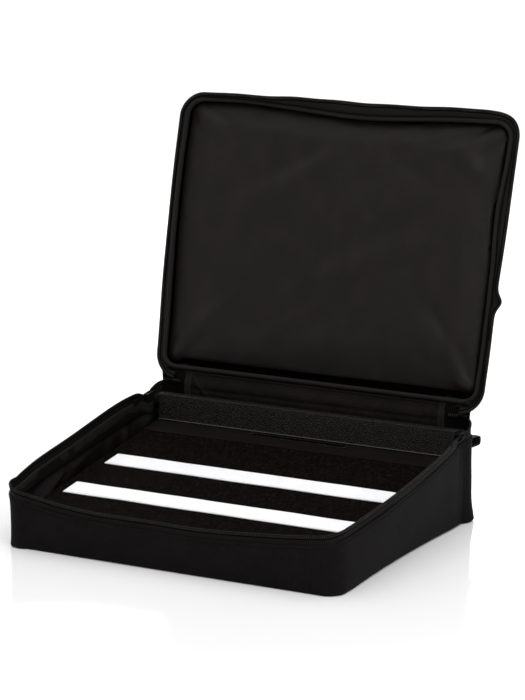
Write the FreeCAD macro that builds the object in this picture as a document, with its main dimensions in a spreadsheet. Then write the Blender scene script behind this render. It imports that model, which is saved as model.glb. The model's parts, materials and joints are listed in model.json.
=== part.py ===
import FreeCAD, Part
import math
import os
import Sketcher

# Pedalboard in a soft zip-round case.  The frame is +X to the right, +Y to the rear and +Z up, with the
# origin at the centre of the case's underside, and every length is in millimetres.
#
# The case is a wedge: its rim plane climbs from front_height to rear_height.  "Below the rim" always
# means measured straight down from that plane.  The lid is drawn in its own frame, which starts on the
# hinge line, with +Y up the lid and +Z towards the inside of the case.

DIMENSIONS = {
    "bag_width": 450.0,
    "bag_depth": 375.0,
    "front_height": 76.0,
    "rear_height": 122.5,
    "corner_radius": 26.0,
    "shell_thickness": 1.2,
    "padding_thickness": 4.0,
    "lining_thickness": 0.8,
    "stiffener_thickness": 2.5,
    "tape_height": 14.0,
    "tape_thickness": 1.0,
    "tape_inset": 1.8,
    "coil_height": 5.2,
    "coil_thickness": 2.8,
    "seam_binding_height": 5.0,
    "hinge_half_width": 187.0,
    "hinge_rise": 11.5,
    "hinge_back": 0.2,
    "hinge_strip_thickness": 2.0,
    "hinge_strip_inset": 0.5,
    "fold_below": 3.0,
    "fold_above": 3.5,
    "stitch_band_width": 9.0,
    "zip_end_gap": 1.0,
    "zip_end_width": 12.0,
    "lid_lean": 15.6,
    "lid_start": 13.3,
    "lid_offset": 6.0,
    "lid_half_width": 240.5,
    "lid_coil_low": 8.0,
    "lid_coil_high": 382.3,
    "lid_corner_radius": 34.0,
    "lid_flange": 9.0,
    "lid_binding_width": 5.0,
    "lid_binding_depth": 5.5,
    "lid_depth": 14.0,
    "lid_padding_thickness": 7.0,
    "lid_lining_thickness": 5.0,
    "lid_lining_inset": 6.0,
    "board_half_width": 213.0,
    "board_front": 15.0,
    "deck_drop": 34.0,
    "deck_thickness": 9.0,
    "carpet_thickness": 3.0,
    "carpet_depth": 294.0,
    "strip_depth": 38.0,
    "panel_gap": 2.5,
    "panel_thickness": 12.0,
    "panel_above_rim": 1.0,
    "leatherette_thickness": 0.8,
    "leatherette_tuck": 14.0,
    "hook_tape_width": 34.0,
    "hook_tape_thickness": 1.6,
    "hook_tape_inset": 15.5,
    "front_hook_tape": 68.0,
    "rear_hook_tape": 169.0,
    "slot_centre": 0.0,
    "slot_length": 136.0,
    "slot_width": 7.0,
    "slot_setback": 7.0,
    "rail_thickness": 12.0,
    "rail_floor_gap": 6.3,
    "board_joint_gap": 0.4,
    "foot_height": 6.0,
    "foot_radius": 10.0,
    "foot_inset": 26.0,
    "screw_head_radius": 4.0,
    "screw_shank_radius": 1.8,
    "screw_length": 16.0,
    "slider_length": 16.0,
    "slider_width": 7.0,
    "slider_channel": 4.0,
    "slider_top": 3.2,
    "slider_bottom": 8.5,
    "slider_from_rear": 36.0,
    "crown_height": 3.4,
    "crown_width": 3.0,
    "crown_drop": 4.0,
    "crown_half_length": 6.0,
    "crown_bar": 1.5,
    "puller_eye": 11.0,
    "puller_length": 28.0,
    "puller_width": 8.0,
    "puller_bar": 1.3,
    "loop_width": 20.0,
    "loop_length": 30.0,
    "loop_thickness": 1.5,
    "loop_gap": 8.0,
    "loop_side": 206.0,
    "loop_below_seam": 6.5,
    "loop_droop": 20.0,
    "handle_half_span": 80.0,
    "handle_stand_off": 8.0,
    "handle_pivot_back": 3.0,
    "handle_bow": 24.0,
    "handle_width": 24.0,
    "handle_thickness": 2.4,
    "handle_height": 62.0,
    "handle_droop": 12.0,
    "grip_half_length": 48.0,
    "grip_thickness": 6.0,
    "grip_width": 30.0,
    "patch_width": 34.0,
    "patch_height": 28.0,
    "patch_thickness": 1.2,
}

# Expressions used by many sub-parts.
RISE = "(Sizes.rear_height - Sizes.front_height)"
SLOPE_ANGLE = "atan(" + RISE + " / Sizes.bag_depth) * 1"
REAR = "Sizes.bag_depth / 2"
HALF_WIDTH = "Sizes.bag_width / 2"
HINGE_Y = "(" + REAR + " + Sizes.hinge_back)"
HINGE_Z = "(Sizes.rear_height + Sizes.hinge_rise)"
COIL_LINE = "(Sizes.tape_inset + Sizes.tape_thickness / 2)"
WALL = "(Sizes.shell_thickness + Sizes.padding_thickness + Sizes.lining_thickness)"
FAR = "900"

doc = FreeCAD.newDocument("pedalboard")
sheet = doc.addObject("Spreadsheet::Sheet", "Sizes")
for row, (alias, value) in enumerate(DIMENSIONS.items(), start=1):
    sheet.set("A%d" % row, alias)
    sheet.set("B%d" % row, str(value))
    sheet.setAlias("B%d" % row, alias)
doc.recompute()

SUBPARTS = []


def number(expression):
    """The present value of an expression on the sheet."""
    found = sheet.evalExpression(expression)
    return float(getattr(found, "Value", found))


def rim(y):
    """Expression for the height of the rim plane at depth y."""
    return "(Sizes.front_height + ((%s) + %s) * %s / Sizes.bag_depth)" % (y, REAR, RISE)


# ---------------------------------------------------------------- sketches and features


def new_body(label):
    body = doc.addObject("PartDesign::Body", label)
    body.Label = label
    SUBPARTS.append(body)
    return body


def new_sketch(body, role="XY_Plane", offset=None):
    """A sketch on one of the body's own origin planes, moved along the plane's normal by offset."""
    plane = [feature for feature in body.Origin.OriginFeatures if feature.Role == role][0]
    sketch = body.newObject("Sketcher::SketchObject", body.Label + "_sketch")
    sketch.AttachmentSupport = [(plane, "")]
    sketch.MapMode = "FlatFace"
    if offset is not None:
        sketch.setExpression("AttachmentOffset.Base.z", offset)
    return sketch


def fix(sketch, kind, geometry, point, expression):
    """Hold one coordinate of a sketch point at an expression, measured from the sketch's origin."""
    constraint = Sketcher.Constraint(kind, -1, 1, geometry, point, number(expression))
    index = sketch.addConstraint(constraint)
    sketch.setExpression("Constraints[%d]" % index, expression)


def add_polygon(sketch, corners):
    """A closed outline of straight lines through corners, each a pair of expressions."""
    first = sketch.GeometryCount
    places = [FreeCAD.Vector(number(across), number(up), 0) for across, up in corners]
    count = len(corners)
    for index in range(count):
        sketch.addGeometry(Part.LineSegment(places[index], places[(index + 1) % count]))
    for index in range(count):
        following = first + (index + 1) % count
        sketch.addConstraint(Sketcher.Constraint("Coincident", first + index, 2, following, 1))
    for index, (across, up) in enumerate(corners):
        fix(sketch, "DistanceX", first + index, 1, across)
        fix(sketch, "DistanceY", first + index, 1, up)


def add_rectangle(sketch, left, right, low, high):
    add_polygon(sketch, [(left, low), (right, low), (right, high), (left, high)])


def add_rounded_rectangle(sketch, half_width, low, high, radius):
    """A rectangle about the sketch's vertical axis with four equal rounded corners."""
    first = sketch.GeometryCount
    w, y0, y1, r = (number(value) for value in (half_width, low, high, radius))
    vector = FreeCAD.Vector
    corners = [(w - r, y0 + r, 270), (w - r, y1 - r, 0), (r - w, y1 - r, 90), (r - w, y0 + r, 180)]
    lines = [
        (vector(r - w, y0, 0), vector(w - r, y0, 0)),
        (vector(w, y0 + r, 0), vector(w, y1 - r, 0)),
        (vector(w - r, y1, 0), vector(r - w, y1, 0)),
        (vector(-w, y1 - r, 0), vector(-w, y0 + r, 0)),
    ]
    for (start, end), (x, y, angle) in zip(lines, corners):
        sketch.addGeometry(Part.LineSegment(start, end))
        circle = Part.Circle(vector(x, y, 0), vector(0, 0, 1), r)
        turn = math.radians(angle)
        sketch.addGeometry(Part.ArcOfCircle(circle, turn, turn + math.pi / 2))
    for index in range(4):
        line = first + 2 * index
        arc = line + 1
        following = first + (2 * index + 2) % 8
        sketch.addConstraint(Sketcher.Constraint("Tangent", line, 2, arc, 1))
        sketch.addConstraint(Sketcher.Constraint("Tangent", arc, 2, following, 1))
        direction = "Horizontal" if index % 2 == 0 else "Vertical"
        sketch.addConstraint(Sketcher.Constraint(direction, line))
        if index:
            sketch.addConstraint(Sketcher.Constraint("Equal", first + 1, arc))
    index = sketch.addConstraint(Sketcher.Constraint("Radius", first + 1, r))
    sketch.setExpression("Constraints[%d]" % index, radius)
    fix(sketch, "DistanceX", first + 2, 1, half_width)
    fix(sketch, "DistanceX", first + 6, 1, "-(" + half_width + ")")
    fix(sketch, "DistanceY", first, 1, low)
    fix(sketch, "DistanceY", first + 4, 1, high)


def pad(body, sketch, length, both_ways=False):
    feature = body.newObject("PartDesign::Pad", body.Label + "_pad")
    feature.Profile = sketch
    feature.SideType = "Symmetric" if both_ways else "One side"
    feature.setExpression("Length", length)
    doc.recompute()
    return feature


def cut(body, sketch, both_ways=False, upward=False, length=None):
    """Pocket the sketch out of the body and make sure that it took something away."""
    before = body.Shape.Volume
    feature = body.newObject("PartDesign::Pocket", body.Label + "_cut")
    feature.Profile = sketch
    feature.SideType = "Symmetric" if both_ways else "One side"
    feature.Reversed = upward
    if length is None:
        feature.Type = "ThroughAll"
    else:
        feature.setExpression("Length", length)
    doc.recompute()
    if not body.Shape.Volume < before - 0.01:
        raise RuntimeError(body.Label + ": a pocket removed nothing")
    return feature


def place(body, x="0", y="0", z="0", turn_about_x="0"):
    """Bind the body's place, and its turn about its own X axis in degrees, to expressions."""
    rotation = FreeCAD.Rotation(FreeCAD.Vector(1, 0, 0), number(turn_about_x) or 0.001)
    body.Placement = FreeCAD.Placement(FreeCAD.Vector(0, 0, 0), rotation)
    body.setExpression("Placement.Base.x", x)
    body.setExpression("Placement.Base.y", y)
    body.setExpression("Placement.Base.z", z)
    body.setExpression("Placement.Rotation.Angle", turn_about_x)


# ---------------------------------------------------------------- the case's base


def bag_outline(sketch, inset):
    """The case's plan outline, moved inwards by inset."""
    add_rounded_rectangle(
        sketch,
        "%s - (%s)" % (HALF_WIDTH, inset),
        "-%s + (%s)" % (REAR, inset),
        "%s - (%s)" % (REAR, inset),
        "Sizes.corner_radius - (%s)" % inset,
    )


def below_rim_cut(body, drop):
    """Cut away all that stands higher than drop below the rim plane."""
    front, rear = "-" + REAR + " - 20", REAR + " + 20"
    sketch = new_sketch(body, "YZ_Plane")
    corners = [(front, rim(front) + " - (%s)" % drop), (rear, rim(rear) + " - (%s)" % drop)]
    corners += [(rear, FAR), (front, FAR)]
    add_polygon(sketch, corners)
    cut(body, sketch, both_ways=True)


def make_tub(label, inset, thickness, floor):
    """One layer of the case: a rounded tub whose walls end below the zip tape."""
    body = new_body(label)
    outer = new_sketch(body, offset=floor)
    bag_outline(outer, inset)
    pad(body, outer, "Sizes.rear_height + 20")
    inner = new_sketch(body, offset="(%s) + (%s)" % (floor, thickness))
    bag_outline(inner, "(%s) + (%s)" % (inset, thickness))
    cut(body, inner, upward=True)
    below_rim_cut(body, "Sizes.tape_height")
    return body


def make_rim_band(label, inset, thickness, top, bottom, rear_gap=None):
    """A band standing round the rim between two depths below the rim plane, open at the hinge."""
    body = new_body(label)
    front, rear = "-" + REAR + " - 5", REAR + " + 5"
    profile = new_sketch(body, "YZ_Plane")
    corners = [(front, rim(front) + " - (%s)" % bottom), (rear, rim(rear) + " - (%s)" % bottom)]
    corners += [(rear, rim(rear) + " - (%s)" % top), (front, rim(front) + " - (%s)" % top)]
    add_polygon(profile, corners)
    pad(body, profile, "Sizes.bag_width + 10", both_ways=True)
    around = new_sketch(body)
    edge = HALF_WIDTH + " + 40"
    add_rectangle(around, "-(" + edge + ")", edge, "-(" + edge + ")", edge)
    bag_outline(around, inset)
    cut(body, around, both_ways=True)
    inside = new_sketch(body)
    bag_outline(inside, "(%s) + (%s)" % (inset, thickness))
    cut(body, inside, both_ways=True)
    if rear_gap is not None:
        gap = new_sketch(body)
        add_rectangle(gap, "-(" + rear_gap + ")", rear_gap, REAR + " - 12", REAR + " + 5")
        cut(body, gap, both_ways=True)
    return body


def make_case_layers():
    make_tub("bag_shell", "0", "Sizes.shell_thickness", "0")
    make_tub("bag_padding", "Sizes.shell_thickness", "Sizes.padding_thickness", "Sizes.shell_thickness")
    skins = "Sizes.shell_thickness + Sizes.padding_thickness"
    make_tub("bag_lining", skins, "Sizes.lining_thickness", skins)


def make_case_zip():
    zip_gap = "Sizes.hinge_half_width + Sizes.zip_end_gap"
    make_rim_band(
        "base_zip_tape", "Sizes.tape_inset", "Sizes.tape_thickness",
        "Sizes.coil_height", "Sizes.tape_height", zip_gap,
    )
    coil_inset = COIL_LINE + " - Sizes.coil_thickness / 2"
    make_rim_band("base_zip_coil", coil_inset, "Sizes.coil_thickness", "0", "Sizes.coil_height", zip_gap)
    tape_back = "Sizes.tape_inset + Sizes.tape_thickness"
    binding_top = "Sizes.tape_height - Sizes.seam_binding_height"
    make_rim_band(
        "seam_binding", tape_back, "Sizes.tape_thickness * 1.5",
        binding_top, "Sizes.tape_height", zip_gap,
    )


# ---------------------------------------------------------------- the hinge of cloth


def make_upright_strip(label, left, right, back, thickness, low, high):
    """A flat strip on the rear wall: back is its rear face."""
    body = new_body(label)
    outline = new_sketch(body, offset=low)
    add_rectangle(outline, left, right, "%s - (%s)" % (back, thickness), back)
    pad(body, outline, "(%s) - (%s)" % (high, low))
    return body


def make_hinge():
    seam = "Sizes.rear_height - Sizes.tape_height"
    fold = HINGE_Z + " - Sizes.fold_below"
    half = "Sizes.hinge_half_width"
    thick = "Sizes.hinge_strip_thickness"
    back = REAR + " - Sizes.hinge_strip_inset"
    band = "Sizes.stitch_band_width"
    make_upright_strip(
        "hinge_strip_lower", "-%s + %s" % (half, band), "%s - %s" % (half, band), back, thick, seam, fold
    )
    for side, name in ((-1, "left"), (1, "right")):
        inner = "%d * (%s - %s)" % (side, half, band)
        outer = "%d * %s" % (side, half)
        edges = (inner, outer) if side > 0 else (outer, inner)
        make_upright_strip("stitch_band_" + name, *edges, back, thick + " * 1.4", seam, fold)
        near = "%d * (%s + Sizes.zip_end_gap * 1.4)" % (side, half)
        far = "%d * (%s + Sizes.zip_end_gap * 1.4 + Sizes.zip_end_width)" % (side, half)
        edges = (near, far) if side > 0 else (far, near)
        foot = "Sizes.rear_height + Sizes.fold_below"
        make_upright_strip("zip_end_" + name, *edges, back, thick, foot, fold)


# ---------------------------------------------------------------- the lid


def place_on_lid(body):
    place(body, y=HINGE_Y, z=HINGE_Z, turn_about_x="90 - Sizes.lid_lean")


def lid_outline(sketch, inset, bottom_inset):
    """The lid's outline inside the coil's: the bottom edge has an inset of its own."""
    add_rounded_rectangle(
        sketch,
        "Sizes.lid_half_width - (%s)" % inset,
        "Sizes.lid_coil_low + (%s)" % bottom_inset,
        "Sizes.lid_coil_high - (%s)" % inset,
        "Sizes.lid_corner_radius - (%s)" % inset,
    )


LID_BOTTOM = "Sizes.lid_start - Sizes.lid_coil_low"


def make_lid_ring(label, outer, inner, low, thickness, open_bottom=False):
    """A flat ring on the lid between two insets, each a pair of the side's and the bottom edge's."""
    body = new_body(label)
    outside = new_sketch(body, offset=low)
    lid_outline(outside, *outer)
    lid_outline(outside, *inner)
    pad(body, outside, thickness)
    if open_bottom:
        gap = new_sketch(body)
        half = "Sizes.hinge_half_width + Sizes.zip_end_gap"
        add_rectangle(gap, "-(" + half + ")", half, "0", "Sizes.lid_start + 12")
        cut(body, gap, both_ways=True)
    place_on_lid(body)
    return body


def make_lid_sheet(label, inset, bottom_inset, low, thickness):
    """A flat layer of the lid."""
    body = new_body(label)
    outline = new_sketch(body, offset=low)
    lid_outline(outline, inset, bottom_inset)
    pad(body, outline, thickness)
    place_on_lid(body)
    return body


def make_lid_cover():
    """The lid's outside: a shallow tray whose walls end at the binding."""
    body = new_body("lid_cover")
    outer = new_sketch(body, offset="-Sizes.lid_depth")
    inset = "Sizes.lid_flange + 1"
    lid_outline(outer, inset, LID_BOTTOM + " + 1")
    pad(body, outer, "Sizes.lid_depth")
    inner = new_sketch(body, offset="-Sizes.lid_depth + Sizes.shell_thickness")
    wall = "Sizes.shell_thickness"
    lid_outline(inner, inset + " + " + wall, LID_BOTTOM + " + 1 + " + wall)
    cut(body, inner, upward=True)
    place_on_lid(body)


def make_lid():
    coil = "Sizes.coil_height"
    coil_low = "Sizes.lid_offset - Sizes.coil_thickness / 2"
    tape_low = "Sizes.lid_offset - Sizes.tape_thickness / 2"
    make_lid_ring(
        "lid_zip_coil", ("0", "0"), (coil, coil), coil_low, "Sizes.coil_thickness", open_bottom=True
    )
    make_lid_ring(
        "lid_zip_tape", (coil, coil), ("Sizes.lid_flange", LID_BOTTOM + " + 4"),
        tape_low, "Sizes.tape_thickness", open_bottom=True,
    )
    binding = ("Sizes.lid_flange", LID_BOTTOM)
    inner = tuple("%s + Sizes.lid_binding_width" % edge for edge in binding)
    make_lid_ring("lid_binding", binding, inner, "0", "Sizes.lid_binding_depth")
    make_lid_cover()
    inside = "Sizes.lid_flange + 1 + Sizes.shell_thickness"
    bottom_inside = LID_BOTTOM + " + 1 + Sizes.shell_thickness"
    layer = "-Sizes.lid_depth + Sizes.shell_thickness"
    make_lid_sheet("lid_stiffener", inside, bottom_inside, layer, "Sizes.stiffener_thickness")
    layer += " + Sizes.stiffener_thickness"
    make_lid_sheet("lid_padding", inside, bottom_inside, layer, "Sizes.lid_padding_thickness")
    layer += " + Sizes.lid_padding_thickness"
    lining = "Sizes.lid_lining_inset + "
    edges = (lining + inside, lining + bottom_inside)
    make_lid_sheet("lid_lining", *edges, layer, "Sizes.lid_lining_thickness")


def make_hinge_strip_upper():
    body = new_body("hinge_strip_upper")
    outline = new_sketch(body, offset="-1")
    half = "Sizes.hinge_half_width - Sizes.stitch_band_width"
    add_rectangle(outline, "-(" + half + ")", half, "Sizes.fold_above", "Sizes.lid_start")
    pad(body, outline, "Sizes.hinge_strip_thickness")
    place_on_lid(body)


# ---------------------------------------------------------------- the board


def place_on_deck(body, y="-%s + Sizes.board_front" % REAR, drop="Sizes.deck_drop"):
    """Deck pieces are drawn flat, from the deck's front edge, and tilted to the rim's slope."""
    place(body, y=y, z=rim(y) + " - (%s)" % drop, turn_about_x=SLOPE_ANGLE)


def make_deck_sheet(label, half_width, low, high, bottom, thickness):
    """A flat layer of the board: low and high run up the slope, bottom is below the deck's top."""
    body = new_body(label)
    outline = new_sketch(body, offset=bottom)
    add_rectangle(outline, "-(" + half_width + ")", half_width, low, high)
    pad(body, outline, thickness)
    place_on_deck(body)
    return body


def cut_cable_slot(body):
    """The long slot with round ends in front of the upright panel, for power leads."""
    end = "Sizes.carpet_depth + Sizes.strip_depth - Sizes.slot_setback"
    left = number("Sizes.slot_centre - Sizes.slot_length / 2 + Sizes.slot_width / 2")
    right = number("Sizes.slot_centre + Sizes.slot_length / 2 - Sizes.slot_width / 2")
    middle = number(end)
    radius = number("Sizes.slot_width / 2")
    sketch = new_sketch(body)
    vector = FreeCAD.Vector
    normal = vector(0, 0, 1)
    sketch.addGeometry(Part.LineSegment(vector(left, middle - radius, 0), vector(right, middle - radius, 0)))
    right_end = Part.Circle(vector(right, middle, 0), normal, radius)
    sketch.addGeometry(Part.ArcOfCircle(right_end, -math.pi / 2, math.pi / 2))
    sketch.addGeometry(Part.LineSegment(vector(right, middle + radius, 0), vector(left, middle + radius, 0)))
    left_end = Part.Circle(vector(left, middle, 0), normal, radius)
    sketch.addGeometry(Part.ArcOfCircle(left_end, math.pi / 2, 3 * math.pi / 2))
    for index in range(4):
        sketch.addConstraint(Sketcher.Constraint("Tangent", index, 2, (index + 1) % 4, 1))
    sketch.addConstraint(Sketcher.Constraint("Horizontal", 0))
    radius_index = sketch.addConstraint(Sketcher.Constraint("Radius", 1, radius))
    sketch.setExpression("Constraints[%d]" % radius_index, "Sizes.slot_width / 2")
    fix(sketch, "DistanceX", 1, 3, "Sizes.slot_centre + (Sizes.slot_length - Sizes.slot_width) / 2")
    fix(sketch, "DistanceX", 3, 3, "Sizes.slot_centre - (Sizes.slot_length - Sizes.slot_width) / 2")
    fix(sketch, "DistanceY", 1, 3, end)
    cut(body, sketch, both_ways=True)


def make_deck():
    half = "Sizes.board_half_width"
    depth = "Sizes.carpet_depth + Sizes.strip_depth"
    under = "-Sizes.carpet_thickness - Sizes.deck_thickness"
    deck = make_deck_sheet("deck_board", half, "0", depth, under, "Sizes.deck_thickness")
    cut_cable_slot(deck)
    make_deck_sheet("deck_carpet", half, "0", "Sizes.carpet_depth", "-Sizes.carpet_thickness",
                    "Sizes.carpet_thickness")
    strip = make_deck_sheet("rear_strip", half, "Sizes.carpet_depth", depth, "-Sizes.carpet_thickness",
                            "Sizes.carpet_thickness")
    cut_cable_slot(strip)
    for name in ("front", "rear"):
        start = "Sizes.%s_hook_tape" % name
        make_deck_sheet(name + "_hook_tape", half + " - Sizes.hook_tape_inset", start,
                        start + " + Sizes.hook_tape_width", "0", "Sizes.hook_tape_thickness")


def make_plate_across(label, corners, half_width):
    """A piece whose outline is drawn from the side and which runs right across the board."""
    body = new_body(label)
    outline = new_sketch(body, "YZ_Plane")
    add_polygon(outline, corners)
    pad(body, outline, "2 * (%s)" % half_width, both_ways=True)
    return body


PANEL_FRONT = (
    "(-%s + Sizes.board_front"
    " + (Sizes.carpet_depth + Sizes.strip_depth) * cos(%s) + Sizes.panel_gap)"
) % (REAR, "atan(" + RISE + " / Sizes.bag_depth)")
RAIL_BOTTOM = "(" + WALL + " + Sizes.rail_floor_gap)"
DECK_UNDER = "(Sizes.deck_drop + Sizes.carpet_thickness + Sizes.deck_thickness + Sizes.board_joint_gap / 2)"


def make_rear_panel():
    """The upright panel behind the deck, with its leatherette over the front, the top and the back."""
    skin = "Sizes.leatherette_thickness"
    front = PANEL_FRONT + " + " + skin
    back = PANEL_FRONT + " + Sizes.panel_thickness - " + skin
    top = rim(PANEL_FRONT) + " + Sizes.panel_above_rim"
    core = "Sizes.board_half_width"
    corners = [(front, RAIL_BOTTOM), (back, RAIL_BOTTOM)]
    corners += [(back, top + " - " + skin), (front, top + " - " + skin)]
    make_plate_across("rear_panel", corners, core)
    low = rim(PANEL_FRONT) + " - Sizes.deck_drop - Sizes.leatherette_tuck"
    outer = (PANEL_FRONT, PANEL_FRONT + " + Sizes.panel_thickness")
    corners = [(outer[0], low), (front, low), (front, top + " - " + skin), (back, top + " - " + skin)]
    corners += [(back, low), (outer[1], low), (outer[1], top), (outer[0], top)]
    make_plate_across("panel_leatherette", corners, core)


def make_rails():
    """Two wedge-shaped cheeks and a front rail hold the deck at its slope."""
    front = "-%s + Sizes.board_front" % REAR
    behind = front + " + Sizes.rail_thickness"
    rear = PANEL_FRONT + " - Sizes.board_joint_gap"
    half = "Sizes.board_half_width"
    corners = [(behind, RAIL_BOTTOM), (rear, RAIL_BOTTOM)]
    corners += [(rear, rim(rear) + " - " + DECK_UNDER), (behind, rim(behind) + " - " + DECK_UNDER)]
    for side, name in ((-1, "left"), (1, "right")):
        body = new_body("side_rail_" + name)
        outline = new_sketch(body, "YZ_Plane", offset="%d * (%s - Sizes.rail_thickness / 2)" % (side, half))
        add_polygon(outline, corners)
        pad(body, outline, "Sizes.rail_thickness", both_ways=True)
    corners = [(front, RAIL_BOTTOM), (behind, RAIL_BOTTOM)]
    corners += [(behind, rim(behind) + " - " + DECK_UNDER), (front, rim(front) + " - " + DECK_UNDER)]
    make_plate_across("front_rail", corners, half)


def foot_centres():
    across = number("Sizes.board_half_width - Sizes.rail_thickness / 2")
    front = number("-%s + Sizes.board_front + Sizes.foot_inset" % REAR)
    rear = number(PANEL_FRONT + " - Sizes.foot_inset")
    return [FreeCAD.Vector(x, y, 0) for x in (-across, across) for y in (front, rear)]


def make_feet():
    """Four rubber feet under the cheeks, each held by a countersunk wood screw."""
    top = number(RAIL_BOTTOM)
    height = number("Sizes.foot_height")
    radius = number("Sizes.foot_radius")
    head = number("Sizes.screw_head_radius")
    shank = number("Sizes.screw_shank_radius")
    length = number("Sizes.screw_length")
    recess = 1.5
    up = FreeCAD.Vector(0, 0, 1)
    feet = []
    screws = []
    for centre in foot_centres():
        base = centre + up * (top - height)
        foot = Part.makeCone(radius - 1, radius, height, base, up)
        head_room = Part.makeCylinder(head, recess, base, up)
        cone = Part.makeCone(head, shank, head - shank, base + up * recess, up)
        stem = Part.makeCylinder(shank, height, base, up)
        feet.append(foot.cut(head_room).cut(cone).cut(stem))
        screw_stem = Part.makeCylinder(shank, length - recess, base + up * recess, up)
        screws.append(cone.fuse(screw_stem).removeSplitter())
    for label, solids in (("rubber_feet", feet), ("foot_screws", screws)):
        group = doc.addObject("Part::Feature", label)
        group.Label = label
        group.Shape = Part.makeCompound(solids)
        SUBPARTS.append(group)


# ---------------------------------------------------------------- the zip sliders


SLIDER_Y = "(%s - Sizes.slider_from_rear)" % REAR
PIVOT_OUT = "(Sizes.slider_width / 2 + Sizes.puller_bar / 2 + 0.3)"
PIVOT_BACK = "-(Sizes.crown_half_length - Sizes.crown_bar - 1.2)"


def place_on_zip(body, side):
    place(
        body, x="%d * (%s - %s)" % (side, HALF_WIDTH, COIL_LINE), y=SLIDER_Y, z=rim(SLIDER_Y),
        turn_about_x=SLOPE_ANGLE,
    )


def make_slider(name, side):
    """Two plates either side of the coil, a bar over it at the nose and a crown for the puller."""
    body = new_body("slider_" + name)
    half = "Sizes.slider_width / 2"
    length = "Sizes.slider_length / 2"
    block = new_sketch(body, offset="-Sizes.slider_bottom")
    add_rounded_rectangle(block, half, "-" + length, length, "1")
    pad(body, block, "Sizes.slider_bottom + Sizes.slider_top")
    channel = new_sketch(body, "XZ_Plane")
    gap = "Sizes.slider_channel / 2"
    add_rectangle(channel, "-" + gap, gap, "-Sizes.slider_bottom - 1", "0.5")
    cut(body, channel, both_ways=True)
    tail = new_sketch(body)
    add_rectangle(tail, "-" + gap, gap, "-" + length + " + 6", length + " + 1")
    cut(body, tail, both_ways=True)
    crown = new_sketch(body, offset="-Sizes.crown_drop")
    out = "%d * (%s - 0.2)" % (side, half)
    peak = "%d * (%s + Sizes.crown_height)" % (side, half)
    inner_peak = "%d * (%s + Sizes.crown_height - Sizes.crown_bar)" % (side, half)
    reach = "Sizes.crown_half_length"
    bar = "Sizes.crown_bar"
    corners = [(out, "-" + reach), (peak, "-%s + 1.2" % reach), (peak, "%s - 1.2" % reach), (out, reach)]
    corners += [(out, "%s - %s" % (reach, bar)), (inner_peak, "%s - %s" % (reach, bar))]
    corners += [(inner_peak, "-%s + %s" % (reach, bar)), (out, "-%s + %s" % (reach, bar))]
    add_polygon(crown, corners)
    pad(body, crown, "Sizes.crown_width")
    place_on_zip(body, side)


def make_puller(name, side):
    """A flat tab with an open eye whose end bar passes under the crown."""
    body = new_body("puller_" + name)
    middle = "Sizes.crown_width / 2 - Sizes.crown_drop"
    half = "Sizes.puller_width / 2"
    thick = "Sizes.puller_bar"
    outline = new_sketch(body, "YZ_Plane", offset="%d * %s" % (side, PIVOT_OUT))
    start = PIVOT_BACK + " + Sizes.puller_bar / 2"
    end = PIVOT_BACK + " - Sizes.puller_length"
    corners = [(end, middle + " - " + half + " + 1.5"), (end + " + 1.5", middle + " - " + half)]
    corners += [(start, middle + " - " + half), (start, middle + " + " + half)]
    corners += [(end + " + 1.5", middle + " + " + half), (end, middle + " + " + half + " - 1.5")]
    add_polygon(outline, corners)
    eye_far = PIVOT_BACK + " - Sizes.puller_eye"
    arm = half + " - 1.6"
    add_rectangle(outline, eye_far, start + " - Sizes.puller_bar", middle + " - (" + arm + ")",
                  middle + " + " + arm)
    pad(body, outline, thick, both_ways=True)
    place_on_zip(body, side)


# ---------------------------------------------------------------- webbing


def make_strap_loop(name, side):
    """A folded loop of webbing sewn to the rear wall near its top corner."""
    body = new_body("strap_loop_" + name)
    outline = new_sketch(body, "YZ_Plane")
    reach = "Sizes.loop_length"
    thick = "Sizes.loop_thickness"
    gap = "Sizes.loop_gap / 2"
    add_rectangle(outline, "0", reach, "-%s - %s" % (gap, thick), "%s + %s" % (gap, thick))
    add_rectangle(outline, thick, "%s - %s" % (reach, thick), "-" + gap, gap)
    pad(body, outline, "Sizes.loop_width", both_ways=True)
    tilt = "(Sizes.loop_gap / 2 + %s) * sin(Sizes.loop_droop) + 0.2" % thick
    place(
        body, x="%d * Sizes.loop_side" % side, y=REAR + " + " + tilt,
        z="Sizes.rear_height - Sizes.tape_height - Sizes.loop_below_seam", turn_about_x="-Sizes.loop_droop",
    )


def arc_band(sketch, half_angle, inner, outer, centre_back):
    """A band between two arcs about a centre on the sketch's vertical axis."""
    vector = FreeCAD.Vector
    normal = vector(0, 0, 1)
    centre = vector(0, -centre_back, 0)
    start = math.pi / 2 - half_angle
    end = math.pi / 2 + half_angle
    for radius in (inner, outer):
        sketch.addGeometry(Part.ArcOfCircle(Part.Circle(centre, normal, radius), start, end))
    for angle in (start, end):
        ray = vector(math.cos(angle), math.sin(angle), 0)
        sketch.addGeometry(Part.LineSegment(centre + ray * inner, centre + ray * outer))
    for line, point in ((2, 1), (3, 2)):
        sketch.addConstraint(Sketcher.Constraint("Coincident", line, 1, 0, point))
        sketch.addConstraint(Sketcher.Constraint("Coincident", line, 2, 1, point))
    sketch.addConstraint(Sketcher.Constraint("Coincident", 0, 3, 1, 3))


BOW_RADIUS = "((Sizes.handle_half_span ^ 2 + Sizes.handle_bow ^ 2) / (2 * Sizes.handle_bow))"


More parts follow.
